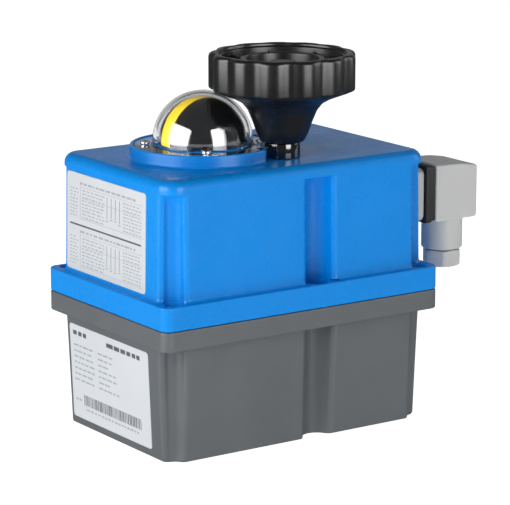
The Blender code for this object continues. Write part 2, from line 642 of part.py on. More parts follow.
def make_output(steel, brass, plastic, parent):
    foot = 0.5
    profile = [(star_radius, foot + STAR_DEPTH), (star_radius, foot), (OUTPUT_FOOT_R, foot),
               (OUTPUT_FOOT_R, 19.5), (OUTPUT_HUB_R, 19.5), (OUTPUT_HUB_R, 42.0),
               (OUTPUT_NECK_R, 42.0), (OUTPUT_NECK_R, 54.0), (INDICATOR_STEM_R, 54.0),
               (INDICATOR_STEM_R, 166.0)]
    rings = [ring(r, z, 32, OUTPUT) for r, z in profile]
    add_object("output_shaft", loft(rings), steel, parent)
    bore = OUTPUT_FOOT_R + GAP
    rim = (DRIVE_BOSS_TOP + GAP, DRIVE_BOSS_TOP + GAP + 1.5)
    bush = turned([(bore, 1.0), (BUSH_R, 1.0), (BUSH_R, rim[0]), (BUSH_R + 2.5, rim[0]),
                   (BUSH_R + 2.5, rim[1]), (bore, rim[1])], 28, OUTPUT, bored=True)
    add_object("output_bush", bush, brass)
    for number, z in enumerate(CAM_Z, 1):
        add_object(f"switch_cam_{number}", cam(z, number), plastic, parent)


def cam(z, number):
    """A ring with one dip that lets the limit switch lever drop at the end of travel."""
    def outer(angle):
        centre = math.radians(180.0 if number == 1 else 90.0)
        away = abs((angle - centre + math.pi) % (2 * math.pi) - math.pi)
        return CAM_DIP_R if away < math.radians(20) else CAM_R
    bore, top = INDICATOR_STEM_R + GAP, z + CAM_H
    rings = [ring(r, h, 24, OUTPUT) for r, h in ((bore, z), (outer, z), (outer, top), (bore, top))]
    return loft(rings, cyclic=True)


# === inner frame, motor and electrics ===========================================================
def make_frame(steel, brass):
    outline = [(x + PLATE_MIDDLE_X, y) for x, y in rounded_rect(*PLATE_HALF, 6.0, 3)]
    plate = add_object("gear_plate", prism(outline, *PLATE_Z), steel)
    holes = [cylinder(OUTPUT_NECK_R + GAP, 40, 55, 20, OUTPUT),
             cylinder(SHAFT_R + GAP, 40, 55, 16, HANDWHEEL),
             cylinder(8.6, 40, 55, 20, MOTOR), cylinder(2.6, 40, 55, 12, IDLER)]
    cut(plate, combine(*holes), "plate_holes")
    for number, (x, y) in enumerate(((-48.0, -31.0), (-48.0, 31.0), (62.0, -31.0), (62.0, 31.0)), 1):
        add_object(f"plate_pillar_{number}",
                   cylinder(4.0, FLOOR_T + GAP, PLATE_Z[0] - GAP, 12, (x, y)), steel)
    axle = turned([(AXLE_R, 4.3), (AXLE_R, 45.0), (2.2, 45.0), (2.2, PLATE_Z[1])], 20, IDLER)
    add_object("idler_axle", axle, steel)
    for number, (x, y) in enumerate(((29.0, -33.0), (29.0, 33.0), (62.0, -33.0), (62.0, 33.0)), 1):
        add_object(f"board_post_{number}",
                   cylinder(2.5, PLATE_Z[1] + GAP, BOARD_Z[0] - GAP, 10, (x, y)), brass)


def make_motor(steel):
    bore = MOTOR_SHAFT_R + 0.5
    can = turned([(bore, PLATE_Z[1] + GAP), (MOTOR_R - 0.5, PLATE_Z[1] + GAP), (MOTOR_R, 50.5),
                  (MOTOR_R, 90.0), (MOTOR_R - 1.5, 92.0), (6.0, 92.0), (6.0, 95.0), (bore, 95.0)],
                 24, MOTOR, bored=True)
    add_object("motor", can, steel)


def make_electrics(board, black, sleeve, green, aluminium):
    add_object("circuit_board", box((24.0, 68.0), (-40.0, 40.0), BOARD_Z), board)
    on_board = BOARD_Z[1] + GAP
    capacitor = turned([(7.6, on_board), (8.0, on_board + 0.6), (8.0, 127.0), (7.2, 128.0)], 24,
                       (38.0, 24.0))
    add_object("capacitor", capacitor, sleeve)
    add_object("transformer", box((30.0, 56.0), (-4.0, 12.0), (on_board, 126.0), 1.0, 1), black)
    terminals = add_object("terminal_block", box((58.0, 66.5), (-4.0, 34.0), (on_board, 117.0), 0.6, 1),
                           green)
    entries = [box((61.0, 70.0), (y, y + 4.0), (108.0, 112.0)) for y in (0.0, 7.0, 14.0, 21.0, 28.0)]
    cut(terminals, combine(*entries), "terminal_entries")
    bracket = add_object("switch_bracket", box((-53.0, -46.0), (-13.0, 13.0),
                                               (PLATE_Z[1] + GAP, 90.0)), aluminium)
    cut(bracket, box((-51.0, -45.0), (-20.0, 20.0), (PLATE_Z[1] + 2.0, 95.0)), "bracket_fold")
    for number, cam_z in enumerate(CAM_Z, 1):
        z = cam_z - 1.0
        body = add_object(f"limit_switch_{number}", box((-50.7, -41.0), (-10.0, 10.0), (z, z + 9.5),
                                                        0.5, 1), black)
        join(body, box((-42.0, -39.6), (-1.5, 1.5), (z + 3.0, z + 6.5)), f"switch_button_{number}")
    add_object("heater", box((-32.0, -6.0), (22.0, 33.0), (PLATE_Z[1] + GAP, 58.0), 1.0, 1),
               aluminium)


# === plug connector =============================================================================
def make_connector(grey, steel, rubber):
    middle_y, middle_z = sum(PLUG_Y) / 2, sum(PLUG_Z) / 2
    plate = box(SOCKET_PLATE_X, (PLUG_Y[0] + 1.4, PLUG_Y[1] - 1.0), (PLUG_Z[0] + 1.2, PLUG_Z[1] - 1.2),
                0.8, 2)
    socket = add_object("plug_socket", plate, grey)
    core = box((70.0, SOCKET_PLATE_X[0] + 1), (middle_y - 9.0, middle_y + 9.0),
               (middle_z - 9.0, middle_z + 9.0), 1.0, 1)
    join(socket, core, "socket_core")
    cut(socket, turn_to_x(cylinder(1.7, -20.0, 20.0, 16), (80.0, middle_y, middle_z)), "socket_thread")
    gasket_x = (SOCKET_PLATE_X[1] + GAP, PLUG_X[0] - GAP)
    gasket = add_object("plug_gasket", box(gasket_x, PLUG_Y, PLUG_Z, 0.6, 1), rubber)
    cut(gasket, turn_to_x(cylinder(1.7, -20.0, 20.0, 16), (90.0, middle_y, middle_z)), "gasket_hole")
    body = add_object("plug_housing", box(PLUG_X, PLUG_Y, PLUG_Z, 1.2, 2), grey)
    gland = (GLAND_X, middle_y)
    hub = turned([(GLAND_THREAD_R, 78.0), (GLAND_THREAD_R, GLAND_HUB_Z),
                  (GLAND_R - 0.5, GLAND_HUB_Z), (GLAND_R, GLAND_HUB_Z + 0.6),
                  (GLAND_R, PLUG_Z[0] + 2.0)], 28, gland)
    join(body, hub, "gland_hub")
    cut(body, cylinder(4.6, 70.0, 112.0, 24, gland), "cable_bore")
    screw_hole = turned([(1.7, -60.0), (1.7, -3.5), (3.6, -3.5), (3.6, 1.0)], 20)
    cut(body, turn_to_x(screw_hole, (PLUG_X[1], middle_y, middle_z + 6.0)), "plug_screw_seat")
    nut_bore = GLAND_THREAD_R + GAP
    low, high = GLAND_NUT_Z
    nut = loft([ring(r, z, 24, gland) for r, z in
                ((5.2, low), (9.0, low), (hex_radius(GLAND_NUT_FLATS, 10.4), low + 1.0),
                 (hex_radius(GLAND_NUT_FLATS, 10.4), high), (nut_bore, high), (nut_bore, 77.7), (5.2, 77.7))],
               cyclic=True)
    add_object("gland_nut", nut, grey)
    seal = tube(3.3, 4.9, 75.2, 77.7, 24, gland)
    add_object("gland_seal", seal, rubber)
    screw = turned([(1.4, -24.0), (1.4, -3.2), (3.3, -3.2), (3.3, -1.2), (2.9, -0.8)], 20)
    add_object("plug_screw", turn_to_x(screw, (PLUG_X[1], middle_y, middle_z + 6.0)), steel)


# === assembly ===================================================================================
def main():
    clear_scene()
    blue = material("cover_blue_plastic", (8, 126, 224), 0.35)
    grey = material("base_grey_plastic", (98, 102, 104), 0.5)
    black = material("black_plastic", (24, 24, 26), 0.4)
    light = material("plug_grey_plastic", (188, 188, 186), 0.45)
    rubber = material("black_rubber", (28, 28, 28), 0.8)
    steel = material("stainless_steel", (200, 202, 205), 0.3, 1.0)
    brass = material("brass", (190, 150, 80), 0.35, 1.0)
    aluminium = material("aluminium", (180, 182, 184), 0.4, 1.0)
    clear = material("clear_dome", (255, 255, 255), 0.03, 0.0, 1.0)
    yellow = material("indicator_yellow", (228, 196, 40), 0.5)
    paper = material("label_white", (238, 240, 242), 0.5)
    nylon = material("white_nylon", (225, 222, 210), 0.5)
    board = material("board_green", (30, 90, 55), 0.5)
    sleeve = material("capacitor_sleeve", (40, 60, 120), 0.4)
    terminal = material("terminal_green", (60, 150, 80), 0.5)

    output = axis_empty("output_axis", *OUTPUT)
    idler = axis_empty("idler_axis", *IDLER)
    wheel = axis_empty("handwheel_axis", *HANDWHEEL)
    rotor = axis_empty("motor_axis", *MOTOR)

    make_base(grey)
    make_cover(blue)
    make_seal(rubber)
    make_casing_screws(steel)
    make_labels(paper)
    make_dome(clear, rubber, steel)
    make_indicator(black, yellow, output)
    make_handwheel(black, steel, wheel)
    make_handwheel_bush(black)
    make_gears(brass, steel, output, idler, wheel, rotor)
    make_output(steel, brass, nylon, output)
    make_frame(steel, brass)
    make_motor(steel)
    make_electrics(board, black, sleeve, terminal, aluminium)
    make_connector(light, steel, rubber)


main()
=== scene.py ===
"""Looks of a motorized valve actuator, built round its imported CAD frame.

Every detailed piece stands for the CAD node of the same shape and rides on that node's body.
Sizes are in millimetres and come from the CAD boxes and from the driving dimensions below; MM
turns them into metres. The casing's long side runs along X, the plug is at its +X end, the
labels are at its -X end and the handwheel is on the -Y side.
"""

import json
import math
import random

import bmesh
import bpy
from mathutils import Matrix, Vector


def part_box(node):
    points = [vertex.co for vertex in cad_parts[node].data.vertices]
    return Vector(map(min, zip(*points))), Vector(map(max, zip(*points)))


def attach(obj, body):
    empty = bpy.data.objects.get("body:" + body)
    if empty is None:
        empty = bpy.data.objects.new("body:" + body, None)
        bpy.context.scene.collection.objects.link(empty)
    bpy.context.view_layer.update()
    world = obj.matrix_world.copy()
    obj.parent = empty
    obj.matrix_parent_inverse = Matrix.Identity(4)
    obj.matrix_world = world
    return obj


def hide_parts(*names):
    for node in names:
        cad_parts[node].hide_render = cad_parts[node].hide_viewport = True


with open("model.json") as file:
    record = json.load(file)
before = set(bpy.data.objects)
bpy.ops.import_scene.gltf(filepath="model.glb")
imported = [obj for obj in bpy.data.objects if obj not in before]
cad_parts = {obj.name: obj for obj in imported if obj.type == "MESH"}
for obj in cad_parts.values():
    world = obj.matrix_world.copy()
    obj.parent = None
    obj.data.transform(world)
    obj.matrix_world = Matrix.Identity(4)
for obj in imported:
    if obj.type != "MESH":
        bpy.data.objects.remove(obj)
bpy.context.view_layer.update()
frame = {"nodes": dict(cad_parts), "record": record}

MM = 0.001
GAP = 0.3                                   # play between neighbouring pieces
QUARTER = [math.radians(22.5 * i) for i in range(5)]      # angles of a rounded edge's rings


def box_mm(node):
    """Lowest and highest corner of a CAD node in millimetres."""
    low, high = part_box(node)
    return low / MM, high / MM


def middle(node):
    """Centre of a CAD node's box in millimetres."""
    low, high = box_mm(node)
    return (low + high) / 2


# --- driving dimensions, from the frame -----------------------------------------------------------
COVER_LOW, COVER_HIGH = box_mm("cover")
HALF_X, HALF_Y = COVER_HIGH.x, COVER_HIGH.y
COVER_FOOT = COVER_LOW.z
BASE_TOP = box_mm("base_housing")[1].z
FLANGE_R = 5.0
COVER_FLANGE_TOP = COVER_FOOT + 12.2
COVER_FLANGE_EDGE, BASE_FLANGE_EDGE = 0.7, 0.6
BASE_FLANGE_LOW = BASE_TOP - 10.15
BOSS_TOP = COVER_HIGH.z
TOP_Z = BOSS_TOP - 6.5
BOSS_R, BOSS_FLOOR = 37.5, BOSS_TOP - 2.5
WINDOW_SEAT_R, WINDOW_FLANGE_R, WINDOW_FLANGE_H = 35.6, 35.3, 1.8
POCKET_TOP = 137.0
POCKET_CLOSE = 6.0                          # height over which the pockets close
WALL, FLOOR_TOP = 3.0, 5.0
CAP_R, CAP_FILLET = 10.0, 5.0
COVER_FOOT_R, BASE_FOOT_R = 2.0, 1.0        # fillets between flange and wall
CORNER_POCKET = (76.0, 51.0, 5.5, 2.5)      # x, y, pocket radius, lip radius
MID_POCKET = (11.0, 51.5, 8.0, 3.0)
BOLT_CIRCLES = ((18.0, 2.1), (25.0, 2.5))   # circle radius and hole radius
CORNER_SCREWS = 4                           # the first four casing screws; the rest are mid-side
OUTPUT = tuple(middle("output_shaft").xy)
HANDWHEEL = tuple(middle("handwheel_bush").xy)
WHEEL_LOW, WHEEL_HIGH = box_mm("handwheel")
WHEEL_R, LOBE_FOOT_R = 37.7, 31.5
WHEEL_LOBES, LOBE_DEPTH, LOBE_ANGLE = 13, 2.2, 227.0
CAP_SEAT = 190.3
COLLAR_BORE, COLLAR_RELIEF_R = 4.3, 9.7
DOME_R, DOME_INNER_R = 25.9, 24.1
DOME_CENTRE_Z = box_mm("dome_window")[1].z - DOME_R
BALL_R = 22.6
BAND_Y = (-4.0, 4.0)                        # the band's two sides, across the ball
NOTCH_X, NOTCH_Y = (-9.9, 24.0), (-62.0, -26.0)           # gap in the boss rim by the collar
SCREW_SEAT_Z = 76.0

BLUE = (0, 139, 228)
GREY = (95, 99, 102)
PLUG_GREY = (196, 196, 194)


# === mesh helpers =================================================================================
def arc(centre, radius, start, stop, steps):
    """Points on an arc, angles in degrees."""
    return [(centre[0] + radius * math.cos(math.radians(start + (stop - start) * i / steps)),
             centre[1] + radius * math.sin(math.radians(start + (stop - start) * i / steps)))
            for i in range(steps + 1)]


def filleted(corners, steps=5):
    """A polyline through (x, y, fillet radius) corners, each rounded by a tangent arc."""
    points = [corners[0][:2]]
    for before, here, after in zip(corners, corners[1:], corners[2:]):
        radius = here[2] if len(here) > 2 else 0.0
        p, a, b = Vector(here[:2]), Vector(before[:2]), Vector(after[:2])
        u, v = (a - p), (b - p)
        turn = u.angle(v)
        if radius <= 0.0 or turn > math.pi - 0.02:
            points.append(tuple(p))
            continue
        reach = min(radius / math.tan(turn / 2), 0.49 * u.length, 0.49 * v.length)
        radius = reach * math.tan(turn / 2)
        u.normalize()
        v.normalize()
        centre = p + (u + v).normalized() * (radius / math.sin(turn / 2))
        first, last = p + u * reach - centre, p + v * reach - centre
        sweep = first.angle_signed(last)
        for i in range(steps + 1):
            angle = -sweep * i / steps
            c, s = math.cos(angle), math.sin(angle)
            points.append((centre.x + first.x * c - first.y * s,
                           centre.y + first.x * s + first.y * c))
    points.append(corners[-1][:2])
    return points


def loft(rings, cyclic=False):
    """A closed solid through rings of equal point count; cyclic joins the last to the first."""
    bm = bmesh.new()
    rows = [[bm.verts.new(point) for point in ring] for ring in rings]
    pairs = list(zip(rows, rows[1:]))
    if cyclic:
        pairs.append((rows[-1], rows[0]))
    count = len(rows[0])
    for low, high in pairs:
        for i in range(count):
            k = (i + 1) % count
            bm.faces.new((low[i], low[k], high[k], high[i]))
    if not cyclic:
        bm.faces.new(list(reversed(rows[0])))
        bm.faces.new(rows[-1])
    bmesh.ops.recalc_face_normals(bm, faces=bm.faces[:])
    return bm


def ring(radius, z, count, centre):
    """Points round a vertical axis; radius is a number or a function of the angle in radians."""
    points = []
    for i in range(count):
        angle = 2.0 * math.pi * i / count
        r = radius(angle) if callable(radius) else radius
        points.append(Vector((centre[0] + r * math.cos(angle), centre[1] + r * math.sin(angle), z)))
    return points


def turned(profile, count=64, centre=(0.0, 0.0), bored=False):
    """A turned solid from (radius, z) steps. Bored pieces close on themselves round the bore."""
    return loft([ring(r, z, count, centre) for r, z in profile], cyclic=bored)


def cylinder(radius, z0, z1, count=48, centre=(0.0, 0.0)):
    """A plain upright cylinder."""
    return turned([(radius, z0), (radius, z1)], count, centre)


def rounded_box(x, y, z, radius, steps=3):
    """A block between (low, high) pairs with all edges rounded."""
    bm = bmesh.new()
    bmesh.ops.create_cube(bm, size=1.0)
    size = Matrix.Diagonal((x[1] - x[0], y[1] - y[0], z[1] - z[0], 1.0))
    place = Matrix.Translation(((x[0] + x[1]) / 2, (y[0] + y[1]) / 2, (z[0] + z[1]) / 2))
    bmesh.ops.transform(bm, matrix=place @ size, verts=bm.verts[:])
    if radius:
        bmesh.ops.bevel(bm, geom=bm.edges[:], offset=radius, segments=steps, affect="EDGES",
                        profile=0.5)
    return bm


def merged(*parts):
    """One bmesh from several."""
    out = bmesh.new()
    for part in parts:
        mesh = bpy.data.meshes.new("scratch")
        part.to_mesh(mesh)
        part.free()
        out.from_mesh(mesh)
        bpy.data.meshes.remove(mesh)
    return out


def turn_to_x(bm, origin):
    """Lay a vertical turned shape along +X, its foot at origin."""
    matrix = Matrix.Translation(origin) @ Matrix.Rotation(math.radians(90), 4, "Y")
    bmesh.ops.transform(bm, matrix=matrix, verts=bm.verts[:])
    return bm


def mesh_object(name, bm):
    """An object in metres from a bmesh in millimetres; the bmesh is used up."""
    bmesh.ops.recalc_face_normals(bm, faces=bm.faces[:])
    bmesh.ops.transform(bm, matrix=Matrix.Scale(MM, 4), verts=bm.verts[:])
    mesh = bpy.data.meshes.new(name)
    bm.to_mesh(mesh)
    bm.free()
    obj = bpy.data.objects.new(name, mesh)
    bpy.context.scene.collection.objects.link(obj)
    return obj


def apply_modifiers(obj):
    """Bake the modifiers into the mesh, so that the piece is one plain mesh."""
    bpy.context.view_layer.update()
    evaluated = obj.evaluated_get(bpy.context.evaluated_depsgraph_get())
    mesh = bpy.data.meshes.new_from_object(evaluated)
    old = obj.data
    obj.modifiers.clear()
    obj.data = mesh
    bpy.data.meshes.remove(old)


def combine(obj, tool_bm, operation):
    """Boolean a shape into the object at once, and drop the tool."""
    tool = mesh_object(obj.name + "_tool", tool_bm)
    modifier = obj.modifiers.new("boolean", "BOOLEAN")
    modifier.operation = operation
    modifier.solver = "EXACT"
    modifier.object = tool
    apply_modifiers(obj)
    data = tool.data
    bpy.data.objects.remove(tool)
    bpy.data.meshes.remove(data)


def finish_piece(obj, mat, body, replaced=(), sharp=32.0, weighted=False):
    """Smooth shading, material, body and the CAD nodes the piece stands for."""
    obj.data.shade_smooth()
    obj.data.set_sharp_from_angle(angle=math.radians(sharp))
    if weighted:
        modifier = obj.modifiers.new("normals", "WEIGHTED_NORMAL")
        modifier.keep_sharp = True
        modifier.weight = 80
    obj.data.materials.clear()
    obj.data.materials.append(mat)
    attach(obj, body)
    if replaced:
        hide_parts(*replaced)
    return obj


def add_piece(name, bm, mat, body, replaced=(), sharp=32.0, weighted=False):
    """A finished piece straight from a bmesh."""
    return finish_piece(mesh_object(name, bm), mat, body, replaced, sharp, weighted)


# === materials ====================================================================================
def linear(channel):
    """An 8-bit sRGB channel as a linear value."""
    value = channel / 255.0
    return value / 12.92 if value <= 0.04045 else ((value + 0.055) / 1.055) ** 2.4


def rgba(rgb, gain=1.0):
    return (*[min(linear(c) * gain, 1.0) for c in rgb], 1.0)


class Surface:
    """A Principled material with a short way to add procedural nodes."""

    def __init__(self, name):
        self.mat = bpy.data.materials.new(name)
        self.mat.use_nodes = True
        self.tree = self.mat.node_tree
        self.shader = self.tree.nodes["Principled BSDF"]
        self.coords = self.tree.nodes.new("ShaderNodeTexCoord").outputs["Object"]

    def node(self, kind, **inputs):
        found = self.tree.nodes.new("ShaderNode" + kind)
        for key, value in inputs.items():
            self.feed(found.inputs[key.replace("_", " ")], value)
        return found

    def feed(self, socket, value):
        if isinstance(value, bpy.types.NodeSocket):
            self.tree.links.new(value, socket)
        else:
            socket.default_value = value

    def noise(self, scale, detail=3.0, stretch=None, roughness=0.5):
        vector = self.coords
        if stretch:
            mapping = self.node("Mapping", Vector=self.coords)
            mapping.inputs["Scale"].default_value = stretch
            vector = mapping.outputs["Vector"]
        return self.node("TexNoise", Vector=vector, Scale=scale, Detail=detail,
                         Roughness=roughness).outputs["Fac"]

    def span(self, value, from_low, from_high, to_low, to_high):
        found = self.node("MapRange", Value=value)
        found.inputs["From Min"].default_value = from_low
        found.inputs["From Max"].default_value = from_high
        found.inputs["To Min"].default_value = to_low
        found.inputs["To Max"].default_value = to_high
        return found.outputs["Result"]

    def math(self, operation, a, b):
        found = self.tree.nodes.new("ShaderNodeMath")
        found.operation = operation
        self.feed(found.inputs[0], a)
        self.feed(found.inputs[1], b)
        return found.outputs[0]

    def mix(self, factor, a, b):
        found = self.tree.nodes.new("ShaderNodeMix")
        found.data_type = "RGBA"
        self.feed(found.inputs["Factor"], factor)
        self.feed(found.inputs[6], a)
        self.feed(found.inputs[7], b)
        return found.outputs[2]

    def wear(self, low, high, scale=160.0):
        """Share of edge wear: convex edges, broken up by noise."""
        pointed = self.tree.nodes.new("ShaderNodeNewGeometry").outputs["Pointiness"]
        edge = self.span(pointed, low, high, 0.0, 1.0)
        return self.math("MULTIPLY", edge, self.span(self.noise(scale, 4.0), 0.35, 0.75, 0.0, 1.0))

    def bump(self, height, distance, strength=1.0):
        found = self.node("Bump", Height=height)
        found.inputs["Distance"].default_value = distance
        found.inputs["Strength"].default_value = strength
        self.tree.links.new(found.outputs["Normal"], self.shader.inputs["Normal"])


def moulded_plastic(name, rgb, rough=(0.32, 0.42), grain=1500.0, grain_depth=0.00001,
                    wear=0.35, shade=0.06, specular=0.5, ior=1.5):
    """Moulded plastic: fine spark-eroded grain, faint flow shading, paler rubbed edges."""
    s = Surface(name)
    flow = s.noise(18.0, 3.0)
    base = s.mix(s.span(flow, 0.3, 0.7, 0.0, 1.0), rgba(rgb, 1.0 - shade), rgba(rgb, 1.0 + shade))
    edge = s.math("MULTIPLY", s.wear(0.52, 0.62), wear)
    paler = tuple(c + (235 - c) * 0.35 for c in rgb)
    s.feed(s.shader.inputs["Base Color"], s.mix(edge, base, rgba(paler)))
    rough_noise = s.noise(60.0, 5.0, roughness=0.6)
    s.feed(s.shader.inputs["Roughness"], s.span(rough_noise, 0.3, 0.7, *rough))
    s.bump(s.noise(grain, 2.0), grain_depth, 0.6)
    s.shader.inputs["IOR"].default_value = ior
    s.shader.inputs["Specular IOR Level"].default_value = specular
    return s.mat


def machined_metal(name, rgb, rough=(0.2, 0.34), stretch=(60.0, 60.0, 2600.0), wear=0.3):
    """Turned or brushed metal: fine lines across one axis, darker stains, brighter edges."""
    s = Surface(name)
    lines = s.noise(1.0, 2.0, stretch)
    stain = s.noise(90.0, 4.0)
    base = s.mix(s.span(stain, 0.3, 0.75, 0.0, 1.0), rgba(rgb), rgba(rgb, 0.82))
    edge = s.math("MULTIPLY", s.wear(0.52, 0.62, 300.0), wear)
    s.feed(s.shader.inputs["Base Color"], s.mix(edge, base, rgba(rgb, 1.25)))
    s.feed(s.shader.inputs["Roughness"],
           s.span(s.math("ADD", s.math("MULTIPLY", lines, 0.6), s.math("MULTIPLY", stain, 0.4)),
                  0.3, 0.7, *rough))
    s.bump(lines, 0.000008, 0.5)
    s.shader.inputs["Metallic"].default_value = 1.0
    return s.mat


def clear_window(name):
    """Polished clear plastic with faint smears."""
    s = Surface(name)
    smear = s.noise(70.0, 4.0)
    clean, smeared = (1.0, 1.0, 1.0, 1.0), (0.975, 0.985, 0.99, 1.0)
    s.feed(s.shader.inputs["Base Color"],
           s.mix(s.span(smear, 0.3, 0.7, 0.0, 1.0), clean, smeared))
    s.feed(s.shader.inputs["Roughness"], s.span(smear, 0.35, 0.7, 0.0, 0.03))
    s.bump(s.noise(28.0, 1.0), 0.00002, 0.4)
    s.shader.inputs["Transmission Weight"].default_value = 1.0
    s.shader.inputs["IOR"].default_value = 1.5
    return s.mat


def soft_rubber(name, rgb, dust_rgb):
    """Matt rubber with a little dust."""
    s = Surface(name)
    dust = s.noise(220.0, 5.0)
    s.feed(s.shader.inputs["Base Color"],
           s.mix(s.span(dust, 0.45, 0.75, 0.0, 0.5), rgba(rgb), rgba(dust_rgb)))
    s.feed(s.shader.inputs["Roughness"], s.span(dust, 0.3, 0.7, 0.55, 0.75))
    s.bump(s.noise(2600.0, 2.0), 0.00001, 0.6)
    return s.mat


MATERIALS = {
    "cover_blue_plastic": moulded_plastic("moulded_blue", BLUE, (0.24, 0.32), 1300.0, 0.000008,
                                          wear=0.1, shade=0.03, specular=0.22),
    "base_grey_plastic": moulded_plastic("moulded_grey", GREY, (0.38, 0.5), 1300.0, 0.000014,
                                         wear=0.4, shade=0.05),
    "black_plastic": moulded_plastic("moulded_black", (18, 18, 19), (0.26, 0.36), 1500.0, 0.00001,
                                     wear=0.25, shade=0.12),
    "plug_grey_plastic": moulded_plastic("moulded_light_grey", PLUG_GREY, (0.38, 0.5), 1500.0,
                                         0.00001, wear=0.5, shade=0.03),
    "black_rubber": soft_rubber("rubber_black", (15, 15, 16), (40, 40, 40)),
    "stainless_steel": machined_metal("steel_turned", (200, 202, 205)),
    "brass": machined_metal("brass_turned", (196, 158, 84), (0.24, 0.38)),
    "aluminium": machined_metal("aluminium_brushed", (182, 184, 187), (0.3, 0.45),
                                (1600.0, 60.0, 60.0)),
    "clear_dome": clear_window("clear_polished"),
    "indicator_yellow": moulded_plastic("moulded_yellow", (236, 198, 22), (0.3, 0.4), wear=0.3,
                                        shade=0.04),
    "label_white": moulded_plastic("label_film", (208, 211, 214), (0.3, 0.42), 700.0, 0.000006,
                                   wear=0.1, shade=0.02),
    "white_nylon": moulded_plastic("nylon_natural", (225, 222, 210), (0.4, 0.5)),
    "board_green": moulded_plastic("board_lacquer", (30, 90, 55), (0.25, 0.4), 400.0, 0.00002),
    "capacitor_sleeve": moulded_plastic("sleeve_blue", (40, 60, 120), (0.25, 0.35)),
    "terminal_green": moulded_plastic("terminal_plastic", (60, 150, 80), (0.35, 0.45)),
}
GLOSS_BLACK = moulded_plastic("moulded_black_gloss", (8, 8, 9), (0.04, 0.1), 900.0, 0.000002,
                              wear=0.15, shade=0.1, ior=1.9)
INK = moulded_plastic("label_ink", (92, 94, 98), (0.35, 0.45), 700.0, 0.000004, wear=0.0, shade=0.1)
PALE_INK = moulded_plastic("label_ink_pale", (168, 170, 174), (0.35, 0.45), 700.0, 0.000004,
                           wear=0.0, shade=0.06)


def paint_cad_nodes():
    """Every CAD node that stays visible gets the procedural material of its record slot."""
    for part in frame["record"]["subparts"]:
        mesh = frame["nodes"][part["node"]].data
        mesh.materials.clear()
        mesh.materials.append(MATERIALS[part["material_slot"]])


# === casing =======================================================================================
def straight(a, b, steps):
    """Points between a and b, both left out."""
    return [(a[0] + (b[0] - a[0]) * i / steps, a[1] + (b[1] - a[1]) * i / steps)
            for i in range(1, steps)]


def respaced(path, like):
    """Points on the path at the same shares of its length as the points of the other path."""
    def lengths(points):
        total = [0.0]
        for a, b in zip(points, points[1:]):
            total.append(total[-1] + math.dist(a, b))
        return total
    own, other = lengths(path), lengths(like)
    result, k = [], 0
    for share in other:
        target = own[-1] * share / other[-1]
        while k < len(own) - 2 and own[k + 1] < target:
            k += 1
        step = own[k + 1] - own[k]
        t = min(max((target - own[k]) / step, 0.0), 1.0) if step else 0.0
        result.append((path[k][0] + (path[k + 1][0] - path[k][0]) * t,
                       path[k][1] + (path[k + 1][1] - path[k][1]) * t))
    return result


def pocket_path(lip_a, lip_b, start, pocket, pocket_r, lip_r):
    """Lip, concave pocket, lip: three tangent arcs, travelling counter-clockwise round the body."""
    angle_a = math.degrees(math.atan2(pocket[1] - lip_a[1], pocket[0] - lip_a[0]))
    angle_b = math.degrees(math.atan2(pocket[1] - lip_b[1], pocket[0] - lip_b[0]))
    inner_start, inner_stop = angle_a - 180.0, angle_b + 180.0
    while inner_stop > inner_start:
        inner_stop -= 360.0
    return (arc(lip_a, lip_r, start, angle_a, 6)
            + arc(pocket, pocket_r, inner_start, inner_stop, 16)[1:-1]
            + arc(lip_b, lip_r, angle_b, 90.0, 6))


def quarter_sections(half_x, half_y, inward, flat_r, share):
    """Corner and middle stretch of the +Y half, blended by share from pocketed (0) to plain (1)."""
    cx, cy, corner_r, lip_r = CORNER_POCKET
    corner_r, corner_lip = corner_r + inward, max(lip_r - inward, GAP)
    reach = corner_r + corner_lip
    lip_a = (half_x - corner_lip, cy - math.sqrt(reach ** 2 - (half_x - corner_lip - cx) ** 2))
    lip_b = (cx - math.sqrt(reach ** 2 - (half_y - corner_lip - cy) ** 2), half_y - corner_lip)
    corner = pocket_path(lip_a, lip_b, 0.0, (cx, cy), corner_r, corner_lip)
    flat_r = min(flat_r, half_y - lip_a[1] - 0.01, half_x - lip_b[0] - 0.01)
    plain = ([(half_x, lip_a[1])] + arc((half_x - flat_r, half_y - flat_r), flat_r, 0.0, 90.0, 16)
             + [(lip_b[0], half_y)])
    plain = respaced(plain, corner)

    mx, my, mid_r, lip_r = MID_POCKET
    mid_r, mid_lip = mid_r + inward, max(lip_r - inward, GAP)
    side = math.sqrt((mid_r + mid_lip) ** 2 - (half_y - mid_lip - my) ** 2)
    a, b = (mx + side, half_y - mid_lip), (mx - side, half_y - mid_lip)
    pocket = pocket_path(a, b, 90.0, (mx, my), mid_r, mid_lip)
    level = respaced([(a[0], half_y), (b[0], half_y)], pocket)

    def blend(first, second):
        return [(p[0] + (q[0] - p[0]) * share, p[1] + (q[1] - p[1]) * share)
                for p, q in zip(first, second)]
    return blend(corner, plain), blend(pocket, level)


def casing_outline(inset, inward=0.0, flat_r=CAP_R, share=0.0):
    """The casing in plan: `inset` in from the flange edge, then `inward` into the material."""
    half_x, half_y = HALF_X - inset - inward, HALF_Y - inset - inward
    corner, pocket = quarter_sections(half_x, half_y, inward, flat_r, share)
    mirrored = [(-x, y) for x, y in reversed(corner)]
    upper = (corner + straight(corner[-1], pocket[0], 9) + pocket
             + straight(pocket[-1], mirrored[0], 13) + mirrored)
    lower = [(x, -y) for x, y in reversed(upper)]
    return (upper + straight(upper[-1], lower[0], 15) + lower
            + straight(lower[-1], upper[0], 15))


def casing_ring(z, inset, inward=0.0, flat_r=CAP_R, share=0.0):
    return [Vector((x, y, z)) for x, y in casing_outline(inset, inward, flat_r, share)]


def flange_ring(z, inset):
    return casing_ring(z, inset, 0.0, FLANGE_R - inset, 1.0)


